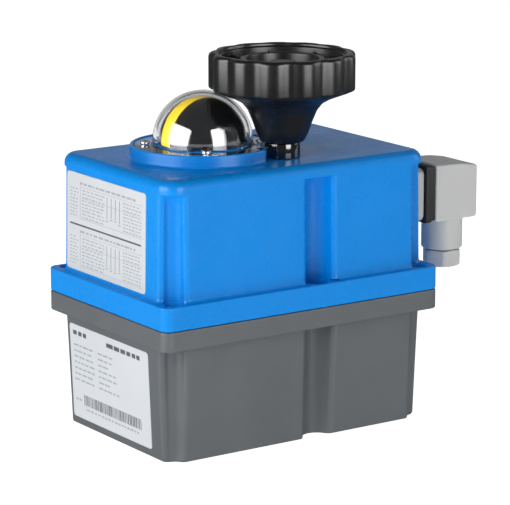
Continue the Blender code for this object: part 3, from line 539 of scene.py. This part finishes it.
def flange_side(z0, z1, edge):
    """Rings up the flange's outer side, its two edges rounded."""
    rings = [flange_ring(z0 + edge * (1 - math.sin(a)), edge * (1 - math.cos(a)))
             for a in reversed(QUARTER)]
    rings += [flange_ring(z1 - edge * (1 - math.sin(a)), edge * (1 - math.cos(a)))
              for a in QUARTER]
    return rings


def cover_inset(z):
    """How far the cover's leaning wall stands in from the flange edge at this height."""
    return 3.7 + (z - COVER_FLANGE_TOP) / (POCKET_TOP - COVER_FLANGE_TOP)


def base_inset(z):
    """The same for the lower casing half."""
    return 6.2 - 2.5 * z / BASE_FLANGE_LOW


def cover_shell():
    """The cover without boss and holes: open pocket inside, flange, wall and rounded cap."""
    rings = [casing_ring(TOP_Z - WALL, cover_inset(TOP_Z - WALL), WALL),
             casing_ring(COVER_FOOT, cover_inset(COVER_FOOT), WALL)]
    rings += flange_side(COVER_FOOT, COVER_FLANGE_TOP, COVER_FLANGE_EDGE)
    for a in QUARTER:                                    # fillet between flange and wall
        z = COVER_FLANGE_TOP + COVER_FOOT_R * (1 - math.cos(a))
        rings.append(casing_ring(z, cover_inset(z) - COVER_FOOT_R * (1 - math.sin(a))))
    low = COVER_FLANGE_TOP + COVER_FOOT_R
    rings += [casing_ring(z, cover_inset(z)) for z in
              (low + (POCKET_TOP - POCKET_CLOSE - low) * i / 8 for i in range(1, 9))]
    for i in range(1, 9):                                # the pockets close in a quarter round
        t = i / 8
        z = POCKET_TOP - POCKET_CLOSE + POCKET_CLOSE * math.sin(t * math.pi / 2)
        rings.append(casing_ring(z, cover_inset(z), share=1 - math.sqrt(max(1 - t * t, 0))))
    cap_inset = cover_inset(POCKET_TOP)
    for i in range(9):                                   # rounded top edge
        a = math.radians(90.0 * i / 8)
        inset = cap_inset + CAP_FILLET * (1 - math.cos(a))
        z = TOP_Z - CAP_FILLET * (1 - math.sin(a))
        rings.append(casing_ring(z, inset, flat_r=CAP_R - (inset - cap_inset), share=1.0))
    rings.append(casing_ring(TOP_Z, cap_inset + CAP_FILLET + 1.5, flat_r=CAP_R - 6.4, share=1.0))
    return loft(rings)


def make_cover(mat):
    cover = mesh_object("casing_cover", cover_shell())
    boss = filleted([(BOSS_R + 8, TOP_Z - 1.5), (BOSS_R + 3.0, TOP_Z - 0.02),
                     (BOSS_R + 0.3, TOP_Z + 0.15, 2.2), (BOSS_R, BOSS_TOP, 0.8), (30.0, BOSS_TOP)])
    combine(cover, turned(boss, 128, OUTPUT), "UNION")
    for cutter in cover_cutters():
        combine(cover, cutter, "DIFFERENCE")
    for number, place in enumerate(casing_screw_places()):
        radius = 4.5
        if number >= CORNER_SCREWS:                      # a wider seat, further into the pocket
            radius = 6.3
            place = (place[0], place[1] - math.copysign(1.5, place[1]))
        seat = [(radius, SCREW_SEAT_Z - GAP), (radius, COVER_FLANGE_TOP - 0.5),
                (radius + 0.5, COVER_FLANGE_TOP), (radius + 0.5, COVER_FLANGE_TOP + 0.9)]
        combine(cover, turned(seat, 40, place), "DIFFERENCE")
    finish_piece(cover, mat, "housing", ["cover"], 28.0, True)


def cover_cutters():
    """Window recess, its screw and stem holes, collar relief, plug port and the boss's notch."""
    rim = [(WINDOW_SEAT_R, BOSS_FLOOR), (WINDOW_SEAT_R, BOSS_TOP - 0.4), (36.0, BOSS_TOP),
           (36.0, BOSS_TOP + 1)]
    holes = [cylinder(1.3, BOSS_FLOOR - 3.5, BOSS_FLOOR + 1, 16, place)
             for place in dome_screw_places()]
    stem = cylinder(7.0, TOP_Z - WALL - 1, BOSS_TOP, 32, OUTPUT)
    relief = [(6.0, TOP_Z - WALL - 1), (6.0, TOP_Z), (COLLAR_RELIEF_R, TOP_Z),
              (COLLAR_RELIEF_R, BOSS_TOP + 1)]
    port_y, port_z, port_half = middle("plug_housing").y, 117.15, 9.4
    port = rounded_box((70.0, 84.0), (port_y - port_half, port_y + port_half),
                       (port_z - port_half, port_z + port_half), 0.8)
    notch = rounded_box(NOTCH_X, NOTCH_Y, (TOP_Z + 0.02, BOSS_TOP + 5.0), 0.6)
    return [turned(rim, 128, OUTPUT), merged(*holes, stem), turned(relief, 48, HANDWHEEL), port,
            notch]


def casing_screw_places():
    """Plan positions of the six casing screws, the corner ones first."""
    places = [middle(f"cover_screw_{number}") for number in range(1, 7)]
    return [(place.x, place.y) for place in places]


def dome_screw_places():
    """Plan positions of the four window screws."""
    places = [middle(f"dome_screw_{number}") for number in range(1, 5)]
    return [(place.x, place.y) for place in places]


def make_base(mat):
    edge = 1.5                                           # rounding of the bottom edge
    rings = [casing_ring(FLOOR_TOP, base_inset(FLOOR_TOP), WALL),
             casing_ring(BASE_TOP, base_inset(BASE_TOP), WALL)]
    rings += reversed(flange_side(BASE_FLANGE_LOW, BASE_TOP, BASE_FLANGE_EDGE))
    for a in QUARTER:                                    # fillet between flange and wall
        z = BASE_FLANGE_LOW - BASE_FOOT_R * (1 - math.cos(a))
        rings.append(casing_ring(z, base_inset(z) - BASE_FOOT_R * (1 - math.sin(a))))
    high = BASE_FLANGE_LOW - BASE_FOOT_R
    rings += [casing_ring(z, base_inset(z)) for z in
              (high + (edge + 1.0 - high) * i / 9 for i in range(1, 10))]
    for i in range(6):
        a = math.radians(90.0 * i / 5)
        z = edge * (1 - math.sin(a))
        rings.append(casing_ring(z, base_inset(z) + edge * (1 - math.cos(a))))
    rings.append(casing_ring(0.0, base_inset(0) + edge + 1.0))
    base = mesh_object("casing_base", loft(rings))
    combine(base, cylinder(33.0, FLOOR_TOP - 1, 13.0, 96, OUTPUT), "UNION")
    hole = [(15.9, -1.0), (15.9, 0.0), (15.3, 0.6), (15.3, 20.0)]
    combine(base, turned(hole, 72, OUTPUT), "DIFFERENCE")
    holes = []
    for circle, radius in BOLT_CIRCLES:
        for i in range(4):
            angle = math.radians(45 + 90 * i)
            place = (OUTPUT[0] + circle * math.cos(angle), OUTPUT[1] + circle * math.sin(angle))
            holes.append(turned([(radius + 0.4, -1.0), (radius + 0.4, 0.0), (radius, 0.4),
                                 (radius, 10.0)], 24, place))
    combine(base, merged(*holes), "DIFFERENCE")
    finish_piece(base, mat, "housing", ["base_housing"], 28.0, True)


# === screws =======================================================================================
def hex_radius(across_flats, corner=None):
    """Radius of a hexagon by angle, its corners turned down to the corner radius if given."""
    def radius(angle):
        folded = (angle % (math.pi / 3)) - math.pi / 6
        value = across_flats / 2 / math.cos(folded)
        return min(value, corner) if corner else value
    return radius


def socket_screw_mesh(place, seat, head, shank, socket, knurl=0.0):
    """Socket head screw: rounded head, hexagon socket with a chamfered mouth."""
    count = 72
    top = seat + head[1]

    def grip(angle):
        return head[0] - knurl * (0.5 + 0.5 * math.cos(36 * angle))
    rings = [ring(shank[0], seat - shank[1], count, place), ring(shank[0], seat, count, place),
             ring(head[0] - 0.3, seat, count, place), ring(grip, seat + 0.3, count, place),
             ring(grip, top - 0.55, count, place)]
    for a in QUARTER[1:]:
        rings.append(ring(head[0] - 0.45 * (1 - math.cos(a)), top - 0.45 * (1 - math.sin(a)),
                          count, place))
    mouth = socket[0] * 0.577 + 0.25
    rings.append(ring(mouth, top, count, place))
    rings.append(ring(hex_radius(socket[0]), top - 0.25, count, place))
    rings.append(ring(hex_radius(socket[0]), top - socket[1], count, place))
    rings.append(ring(0.05, top - socket[1] - socket[0] * 0.2, count, place))
    return loft(rings)


def make_screws(steel):
    for number, place in enumerate(casing_screw_places(), 1):
        add_piece(f"casing_screw_{number}",
                  socket_screw_mesh(place, SCREW_SEAT_Z, (3.8, 4.0), (2.0, 13.0), (3.0, 2.2), 0.12),
                  steel, "housing", [f"cover_screw_{number}"], 24.0)
    seat = box_mm("dome_screw_1")[1].z - 1.6
    for number, place in enumerate(dome_screw_places(), 1):
        add_piece(f"window_screw_{number}",
                  socket_screw_mesh(place, seat, (2.5, 1.6), (1.0, 4.8), (2.0, 0.9)),
                  steel, "housing", [f"dome_screw_{number}"], 24.0)


# === dome and indicator ===========================================================================
def make_dome(mat):
    """The clear window: a dome of even thickness on a flat flange, cut away round the collar."""
    low, top = BOSS_FLOOR + GAP, BOSS_FLOOR + GAP + WINDOW_FLANGE_H
    tip = 0.05
    outer = arc((0.0, DOME_CENTRE_Z), DOME_R, 4.0, 89.8, 36)
    inner = arc((0.0, DOME_CENTRE_Z), DOME_INNER_R, 89.8, 0.0, 36)
    flange = filleted([(DOME_INNER_R, low + 0.5), (DOME_INNER_R, low, 0.3),
                       (WINDOW_FLANGE_R, low, 0.4), (WINDOW_FLANGE_R, top, 0.5),
                       (DOME_R, top, 1.2), (DOME_R, DOME_CENTRE_Z + 1.0)], 6)
    profile = [(tip, DOME_CENTRE_Z + DOME_INNER_R)] + inner + flange + outer
    profile.append((tip, DOME_CENTRE_Z + DOME_R))
    dome = mesh_object("window_dome", turned(profile, 128, OUTPUT))
    cutters = [cylinder(1.7, low - 1, top + 1, 24, place) for place in dome_screw_places()]
    combine(dome, merged(*cutters), "DIFFERENCE")
    combine(dome, cylinder(COLLAR_RELIEF_R, low - 1, top + 1, 64, HANDWHEEL), "DIFFERENCE")
    notch_x, notch_y = (NOTCH_X[0] - GAP, NOTCH_X[1]), (NOTCH_Y[0], NOTCH_Y[1] + GAP)
    combine(dome, rounded_box(notch_x, notch_y, (low - 1, top + 1), 0.0), "DIFFERENCE")
    dome.visible_shadow = False                          # lamplight passes through to the ball
    finish_piece(dome, mat, "housing", ["dome_window"], 30.0)


def band_mesh(inner_r, outer_r, y, foot, edge, steps=72):
    """A flat-sided arch that follows the ball from one foot over the top to the other."""
    mid = (y[0] + y[1]) / 2
    section = filleted([(inner_r, mid), (inner_r, y[0], 0), (outer_r, y[0], edge), (outer_r, mid),
                        (outer_r, y[1], edge), (inner_r, y[1], 0), (inner_r, mid)], 3)
    section = section[:-1]
    rings = []
    for i in range(steps + 1):
        angle = math.radians(foot + (180.0 - 2 * foot) * i / steps)
        points = []
        for radius, across in section:
            flat = math.sqrt(max(radius ** 2 - across ** 2, 0.0))
            points.append(Vector((OUTPUT[0] + flat * math.cos(angle), OUTPUT[1] + across,
                                  DOME_CENTRE_Z + flat * math.sin(angle))))
        rings.append(points)
    return loft(rings)


def make_indicator(black, yellow):
    """The black ball with a groove, and the yellow band that lies in it."""
    base_z = box_mm("indicator_ball")[0].z
    start = math.degrees(math.asin((base_z - DOME_CENTRE_Z) / BALL_R))
    profile = filleted([(6.3, 168.0), (6.3, base_z, 0.3), (22.0, base_z), (22.6, base_z)])
    profile += arc((0.0, DOME_CENTRE_Z), BALL_R, start + 0.8, 89.8, 48)
    ball = mesh_object("position_ball", turned(profile, 128, OUTPUT))
    groove_y = (BAND_Y[0] - 0.25, BAND_Y[1] + 0.25)
    combine(ball, band_mesh(BALL_R - 2.2, BALL_R + 1.5, groove_y, -14.0, 0.0), "DIFFERENCE")
    finish_piece(ball, black, "output", ["indicator_ball"], 30.0)
    band = band_mesh(BALL_R - 1.9, BALL_R - 0.05, BAND_Y, -2.5, 0.25)
    add_piece("position_band", band, yellow, "output", ["indicator_band"], 40.0)


# === handwheel ====================================================================================
def lobed(radius):
    """Radius of the grip: rounded crests with shallow valleys, fading out towards the hub."""
    share = min(max((radius - LOBE_FOOT_R) / (WHEEL_R - LOBE_FOOT_R), 0.0), 1.0)

    def value(angle):
        wave = math.cos(WHEEL_LOBES * (angle - math.radians(LOBE_ANGLE)))
        return radius - share * LOBE_DEPTH * (0.5 - 0.5 * wave) ** 1.6
    return value


def wheel_profile():
    """Half section of the wheel, from the bore's foot round the outside and back to the bore."""
    low, top, bore = WHEEL_LOW.z, WHEEL_HIGH.z, COLLAR_BORE
    trumpet = [(bore, low + 1), (bore, low, 0.2), (11.2, low, 0.8), (12.1, low + 1.6, 2.0),
               (13.6, 157.0, 6.0), (15.1, 161.6, 10.0), (17.9, 168.4, 8.0), (21.0, 172.2, 6.0),
               (26.0, 174.9, 4.0), (34.2, 177.9, 3.0)]
    grip = [(WHEEL_R, 179.4, 1.4), (WHEEL_R, top, 2.6), (33.0, top, 1.2),
            (32.6, top - 1.6, 0.6), (31.0, top - 1.8, 0.6)]
    dish = [(30.2, 182.5, 2.0), (22.8, 181.0, 1.5), (21.6, top - 3.0, 0.8),
            (18.6, top - 3.0, 0.8), (17.4, 180.5, 1.5), (9.4, 179.5, 1.5), (8.8, 190.0, 0.6),
            (bore, 190.0, 0.3), (bore, 188.0)]
    return filleted(trumpet + grip + dish, 5)


def make_handwheel(black, gloss):
    top, bore = WHEEL_HIGH.z, COLLAR_BORE
    count = WHEEL_LOBES * 18
    rings = [ring(lobed(r), z, count, HANDWHEEL) for r, z in wheel_profile()]
    wheel = mesh_object("grip_wheel", loft(rings, cyclic=True))
    ribs = []
    for i in range(8):
        rib = rounded_box((20.6, 31.4), (-0.9, 0.9), (180.0, top - 4.0), 0.35)
        turn = Matrix.Translation((HANDWHEEL[0], HANDWHEEL[1], 0.0))
        turn = turn @ Matrix.Rotation(math.radians(22.5 + 45.0 * i), 4, "Z")
        bmesh.ops.transform(rib, matrix=turn, verts=rib.verts[:])
        ribs.append(rib)
    combine(wheel, merged(*ribs), "UNION")
    finish_piece(wheel, black, "handwheel", ["handwheel"], 35.0)

    seat = CAP_SEAT
    cap = filleted([(3.5, seat), (8.2, seat, 0.2), (8.2, seat + 1.3, 0.8), (6.6, seat + 2.7, 1.2),
                    (0.05, seat + 3.1)])
    add_piece("grip_cap", turned(cap, 64, HANDWHEEL), black, "handwheel",
              ["handwheel_cap"], 35.0)
    collar = filleted([(bore, 140.0), (bore, 139.0, 0.2), (5.7, 139.0, 0.3),
                       (5.7, TOP_Z + GAP, 0.1), (9.2, TOP_Z + GAP, 0.3), (9.2, 151.8, 0.6),
                       (bore, 151.8, 0.3), (bore, 150.0)])
    add_piece("shaft_collar", turned(collar, 96, HANDWHEEL, bored=True), gloss, "housing",
              ["handwheel_bush"], 35.0)


# === plug connector ===============================================================================
def plate_outline(half_a, half_b, radius, steps=6):
    """A rectangle about the origin with rounded corners."""
    points = []
    for sa, sb, start in ((1, 1, 0), (-1, 1, 90), (-1, -1, 180), (1, -1, 270)):
        points += arc((sa * (half_a - radius), sb * (half_b - radius)), radius, start, start + 90,
                      steps)
    return points


def upright_plate(x, y, z, radius, edge):
    """A plate in the YZ plane: rounded outline, both faces' edges rounded."""
    half_y, half_z = (y[1] - y[0]) / 2, (z[1] - z[0]) / 2
    cy, cz = (y[0] + y[1]) / 2, (z[0] + z[1]) / 2
    rings = []
    sides = [(x[0] + edge * (1 - math.cos(a)), edge * (1 - math.sin(a))) for a in QUARTER]
    sides += [(x[1] - edge * (1 - math.sin(a)), edge * (1 - math.cos(a))) for a in QUARTER]
    for at, inset in sides:
        rings.append([Vector((at, cy + u, cz + v)) for u, v in
                      plate_outline(half_y - inset, half_z - inset, max(radius - inset, 0.2))])
    return loft(rings)


def make_connector(grey, rubber, steel):
    low, high = box_mm("plug_socket")
    front = box_mm("plug_gasket")[0].x - GAP
    socket = mesh_object("connector_socket",
                         upright_plate((81.5, front), (low.y, high.y), (low.z, high.z), 3.5, 0.8))
    cy, cz = (low.y + high.y) / 2, (low.z + high.z) / 2
    combine(socket, rounded_box((70.0, 82.5), (cy - 9.0, cy + 9.0), (cz - 9.0, cz + 9.0), 1.0),
            "UNION")
    finish_piece(socket, grey, "housing", ["plug_socket"], 30.0)

    low, high = box_mm("plug_gasket")
    lip = 0.7
    gasket = merged(upright_plate((low.x, high.x - 2.4), (low.y, high.y), (low.z, high.z),
                                  1.6, 0.5),
                    upright_plate((high.x - 2.38, high.x), (low.y + lip, high.y - lip),
                                  (low.z + lip, high.z - lip), 1.2, 0.3))
    add_piece("connector_gasket", gasket, rubber, "housing", ["plug_gasket"], 30.0)

    low, high = box_mm("plug_housing")
    gland = middle("gland_nut")
    box_low = high.z - 30.5
    shell = plug_shell((low.x, high.x), (low.y, high.y), (box_low, high.z))
    body = mesh_object("connector_plug", shell)
    hub = filleted([(7.6, 78.0), (7.6, 84.6, 0.2), (11.0, 84.6, 0.7), (11.0, box_low + 2.0),
                    (9.0, box_low + 2.0)])
    combine(body, turned(hub, 72, (gland.x, gland.y)), "UNION")
    combine(body, cylinder(4.6, 70.0, 112.0, 48, (gland.x, gland.y)), "DIFFERENCE")
    seat_z = middle("plug_screw").z
    seat = [(1.7, -40.0), (1.7, -3.5), (3.6, -3.5), (3.6, -0.4), (4.0, 0.0), (4.0, 1.0)]
    combine(body, turn_to_x(turned(seat, 40), (high.x, cy, seat_z)), "DIFFERENCE")
    finish_piece(body, grey, "housing", ["plug_housing"], 30.0, True)

    screw = filleted([(1.4, -24.0), (1.4, -3.2, 0.1), (3.3, -3.2, 0.2), (3.3, -0.8, 0.6),
                      (2.0, -0.8), (0.05, -0.9)])
    screw = mesh_object("connector_screw", turn_to_x(turned(screw, 48), (high.x, cy, seat_z)))
    slot = rounded_box((high.x - 1.7, high.x + 1), (cy - 4.0, cy + 4.0),
                       (seat_z - 0.4, seat_z + 0.4), 0.0)
    combine(screw, slot, "DIFFERENCE")
    finish_piece(screw, steel, "housing", ["plug_screw"], 30.0)
    make_gland(grey, rubber, gland)


def plug_shell(x, y, z):
    """The plug's block: its top face falls a little towards the outer end in a shallow curve."""
    half_y, mid_y = (y[1] - y[0]) / 2, (y[0] + y[1]) / 2
    edge = 1.2
    side = filleted([(x[0], z[0] + 5), (x[0], z[0], edge), (x[1], z[0], 1.6),
                     (x[1], z[1] - 2.2, 1.6), ((x[0] + x[1]) / 2 + 3, z[1] - 0.5, 40.0),
                     (x[0], z[1], edge), (x[0], z[0] + 5.2)], 6)
    cx, cz = (x[0] + x[1]) / 2, (z[0] + z[1]) / 2
    rings = []
    steps = [(-half_y + edge * (1 - math.cos(a)), edge * (1 - math.sin(a))) for a in QUARTER]
    steps += [(-across, inset) for across, inset in reversed(steps)]
    for across, inset in steps:
        scale_x = 1 - 2 * inset / (x[1] - x[0])
        scale_z = 1 - 2 * inset / (z[1] - z[0])
        rings.append([Vector((cx + (u - cx) * scale_x, mid_y + across, cz + (v - cz) * scale_z))
                      for u, v in side])
    return loft(rings)


def make_gland(grey, rubber, gland):
    """The hexagon cable nut under the plug and the seal ring inside it."""
    centre = (gland.x, gland.y)
    low, high = box_mm("gland_nut")
    corner = 10.4
    outer = hex_radius(18.6, corner)
    count = 96

    def eased(inset):
        limit = corner - inset
        return lambda angle: min(outer(angle), limit)
    sections = [(5.2, low.z + 0.3), (5.5, low.z), (8.8, low.z), (eased(1.0), low.z + 0.2),
                (eased(0.3), low.z + 0.8), (eased(0.0), low.z + 1.3), (eased(0.0), high.z - 0.8),
                (eased(0.5), high.z - 0.2), (eased(1.0), high.z), (7.9, high.z), (7.9, 77.7),
                (5.2, 77.7)]
    nut = loft([ring(r, z, count, centre) for r, z in sections], cyclic=True)
    add_piece("cable_nut", nut, grey, "housing", ["gland_nut"], 25.0)
    seal = filleted([(3.3, 76.0), (3.3, 75.2, 0.4), (4.9, 75.2, 0.4), (4.9, 77.7, 0.3),
                     (3.3, 77.7, 0.3), (3.3, 76.4)])
    add_piece("cable_seal", turned(seal, 64, centre, bored=True), rubber, "housing",
              ["gland_seal"], 30.0)


# === labels =======================================================================================
def label_point(inset, y, z, out):
    """A point `out` in front of the leaning -X wall."""
    return Vector((-(HALF_X - inset(z) + out), y, z))


def strip(inset, y, z, out):
    """A thin closed block lying on the label between the (low, high) pairs."""
    rings = [[label_point(inset, a, b, depth) for a, b in
              ((y[0], z[0]), (y[1], z[0]), (y[1], z[1]), (y[0], z[1]))] for depth in out]
    return loft(rings)


def label_plate(name, node, inset, mat):
    """The sheet itself, a thin plate with rounded corners that follows the wall."""
    low, high = box_mm(node)
    half_y, half_z = (high.y - low.y) / 2, (high.z - low.z) / 2
    cy, cz = (high.y + low.y) / 2, (high.z + low.z) / 2
    rings = []
    for out, shrink in ((0.02, 0.0), (0.22, 0.0), (0.30, 0.1)):
        rings.append([label_point(inset, cy + u, cz + v, out) for u, v in
                      plate_outline(half_y - shrink, half_z - shrink, 1.8 - shrink)])
    return add_piece(name, loft(rings), mat, "housing", [node], 30.0)


PRINT_OUT = (0.25, 0.335)                   # from just inside the sheet to just above it


def words(rng, inset, start, stop, z, height, gap=(0.8, 1.6), length=(1.6, 5.0)):
    """A row of plain bars of word length, from the high-Y end to the low-Y end."""
    bars, y = [], start
    while y - length[0] > stop:
        end = max(y - rng.uniform(*length), stop)
        bars.append(strip(inset, (end, y), (z - height / 2, z + height / 2), PRINT_OUT))
        y = end - rng.uniform(*gap)
    return bars


def label_print(name, dark, pale):
    """The printed bars of one label, as one dark and one pale piece."""
    add_piece(name, merged(*dark), INK, "housing")
    add_piece(name + "_pale", merged(*pale), PALE_INK, "housing")


def make_upper_label(mat):
    """Two wiring tables, one above the other, divided by a dark line: all plain bars and lines."""
    inset = cover_inset
    label_plate("label_sheet_upper", "label_upper", inset, mat)
    low, high = box_mm("label_upper")
    rng = random.Random(3)
    dark, pale = [], []
    left, right = high.y - 3.0, low.y + 3.0
    divider = 108.6
    dark.append(strip(inset, (right + 1.0, left), (divider - 0.45, divider + 0.45), PRINT_OUT))
    for top in (high.z - 5.0, divider - 3.2):
        bottom = top - 19.0
        pale += words(rng, inset, left - 10.0, right + 6.0, top, 1.1)
        pale += [strip(inset, (right, left - 11.0), (z - 0.09, z + 0.09), PRINT_OUT)
                 for z in (top - 1.8, top - 7.6, bottom + 0.6)]
        for i in range(9):
            z = top - 3.4 - 1.75 * i
            pale += words(rng, inset, left, left - 8.0, z, 0.55, length=(1.0, 2.4))
            pale += words(rng, inset, left - 12.0, left - 34.0, z, 0.6, length=(1.2, 4.0))
            pale += words(rng, inset, left - 52.0, right + 1.0, z, 0.6, (0.6, 1.2), (1.2, 3.2))
        for y in (left - 36.5, left - 40.5, left - 44.5, left - 48.5):
            z = bottom + rng.uniform(3.5, 6.0)
            dark.append(strip(inset, (y - 0.16, y + 0.16), (z, top - 3.0), PRINT_OUT))
            pale.append(strip(inset, (y - 1.1, y + 1.1), (z - 1.2, z - 0.6), PRINT_OUT))
        pale.append(strip(inset, (left - 10.3, left - 10.0), (bottom, top), PRINT_OUT))
    label_print("label_print_upper", dark, pale)


def make_lower_label(mat):
    """Header bars, lines of bars and a block of upright bars near the foot."""
    inset = base_inset
    label_plate("label_sheet_lower", "label_lower", inset, mat)
    low, high = box_mm("label_lower")
    rng = random.Random(8)
    left, right = high.y - 3.5, low.y + 3.0
    dark = words(rng, inset, left, left - 14.0, high.z - 4.4, 2.3, length=(3.0, 5.5))
    dark += words(rng, inset, left - 33.0, right + 4.0, high.z - 4.6, 2.3, length=(3.0, 6.5))
    pale = []
    for i in range(7):
        z = high.z - 11.0 - 3.1 * i
        end = left - rng.uniform(34.0, 44.0)
        pale += words(rng, inset, left, left - 20.0, z, 0.9, length=(2.0, 5.0))
        pale += words(rng, inset, left - 24.0, end, z, 0.9, length=(2.0, 5.5))
    y, foot = left - 8.0, low.z + 8.0
    while y > right + 6.0:
        width = rng.choice((0.3, 0.5, 0.8))
        dark.append(strip(inset, (y - width, y), (foot, foot + 5.6), PRINT_OUT))
        y -= width + rng.choice((0.35, 0.5, 0.8))
    pale += words(rng, inset, left - 10.0, right + 8.0, foot - 2.2, 1.0, length=(1.5, 3.0))
    pale += words(rng, inset, left, left - 6.0, foot + 2.0, 1.2, length=(1.5, 2.5))
    label_print("label_print_lower", dark, pale)


# === stage ========================================================================================
FLOOR_HALF, FLOOR_Z, FLOOR_GLOW = 9.0, -0.0002, 0.86      # metres, metres, emission strength
WORLD_COLOUR, WORLD_STRENGTH = (0.94, 0.97, 1.0, 1.0), 0.13
LIGHT_AIM = Vector((0.0, 0.0, 0.1))
# name, azimuth, elevation, distance in metres, size in metres, power; a lamp only lights
LAMPS = (("key_left", 203.0, 18.0, 0.9, (0.7, 0.6), 4.6),
         ("fill_right", 318.0, 18.0, 1.1, (0.7, 0.6), 1.1),
         ("fill_top", 235.0, 78.0, 1.4, (1.2, 1.2), 1.7),
         ("fill_back", 30.0, 35.0, 1.3, (0.7, 0.8), 1.8))
# the same values; a card only shows in polished surfaces
CARDS = (("card_left", 176.0, 16.0, 1.1, (1.05, 0.8), 19.0),
         ("card_right", 275.0, 16.0, 1.1, (0.62, 0.8), 12.0),
         ("card_far", 335.0, 20.0, 1.1, (0.5, 0.8), 4.0),
         ("card_back", 55.7, 12.0, 1.5, (2.0, 0.55), 1.0))
CAMERA_AT = Vector((-764.55, -1130.58, 398.39)) * MM
CAMERA_AIM = Vector((-5.02, -18.08, 93.44)) * MM
CAMERA_LENS = 189.2


def floor_material(name, rgb, glow):
    """Matt pale paper that glows a little, like a light table."""
    s = Surface(name)
    s.feed(s.shader.inputs["Base Color"],
           s.mix(s.noise(3.0, 2.0), rgba(rgb, 0.99), rgba(rgb)))
    s.shader.inputs["Roughness"].default_value = 0.9
    s.shader.inputs["Emission Color"].default_value = (1.0, 1.0, 1.0, 1.0)
    s.shader.inputs["Emission Strength"].default_value = glow
    return s.mat


def make_floor():
    """A wide flat pale floor, just under the object."""
    half = FLOOR_HALF
    bm = bmesh.new()
    bm.faces.new([bm.verts.new((x, y, FLOOR_Z)) for x, y in
                  ((-half, -half), (half, -half), (half, half), (-half, half))])
    mesh = bpy.data.meshes.new("floor")
    bm.to_mesh(mesh)
    bm.free()
    floor = bpy.data.objects.new("floor", mesh)
    floor.data.materials.append(floor_material("floor_pale", (244, 245, 246), FLOOR_GLOW))
    floor.visible_glossy = False
    bpy.context.scene.collection.objects.link(floor)


def softbox(name, azimuth, elevation, distance, size, power, card):
    """An area light, seen from the object at this compass angle and height in degrees."""
    a, e = math.radians(azimuth), math.radians(elevation)
    direction = Vector((math.cos(a) * math.cos(e), math.sin(a) * math.cos(e), math.sin(e)))
    light = bpy.data.lights.new(name, "AREA")
    light.shape = "RECTANGLE"
    light.size, light.size_y = size
    light.energy = power
    obj = bpy.data.objects.new(name, light)
    obj.location = LIGHT_AIM + direction * distance
    obj.rotation_euler = direction.to_track_quat("Z", "Y").to_euler()
    obj.visible_diffuse = not card
    obj.visible_glossy = obj.visible_transmission = card
    bpy.context.scene.collection.objects.link(obj)


def make_lights():
    world = bpy.data.worlds.new("studio")
    world.use_nodes = True
    background = world.node_tree.nodes["Background"]
    background.inputs["Color"].default_value = WORLD_COLOUR
    background.inputs["Strength"].default_value = WORLD_STRENGTH
    bpy.context.scene.world = world
    for lamp in LAMPS:
        softbox(*lamp, card=False)
    for card in CARDS:
        softbox(*card, card=True)


def make_camera():
    camera = bpy.data.cameras.new("camera")
    camera.sensor_width = 36.0
    camera.lens = CAMERA_LENS
    camera.clip_start, camera.clip_end = 0.05, 20.0
    obj = bpy.data.objects.new("camera", camera)
    obj.location = CAMERA_AT
    obj.rotation_euler = (CAMERA_AIM - CAMERA_AT).to_track_quat("-Z", "Y").to_euler()
    bpy.context.scene.collection.objects.link(obj)
    bpy.context.scene.camera = obj
    bpy.context.scene.view_settings.view_transform = "Standard"


# === assembly =====================================================================================
paint_cad_nodes()
make_cover(MATERIALS["cover_blue_plastic"])
make_base(MATERIALS["base_grey_plastic"])
make_screws(MATERIALS["stainless_steel"])
make_dome(MATERIALS["clear_dome"])
make_indicator(GLOSS_BLACK, MATERIALS["indicator_yellow"])
make_handwheel(MATERIALS["black_plastic"], GLOSS_BLACK)
make_connector(MATERIALS["plug_grey_plastic"], MATERIALS["black_rubber"],
               MATERIALS["stainless_steel"])
make_upper_label(MATERIALS["label_white"])
make_lower_label(MATERIALS["label_white"])
make_floor()
make_lights()
make_camera()
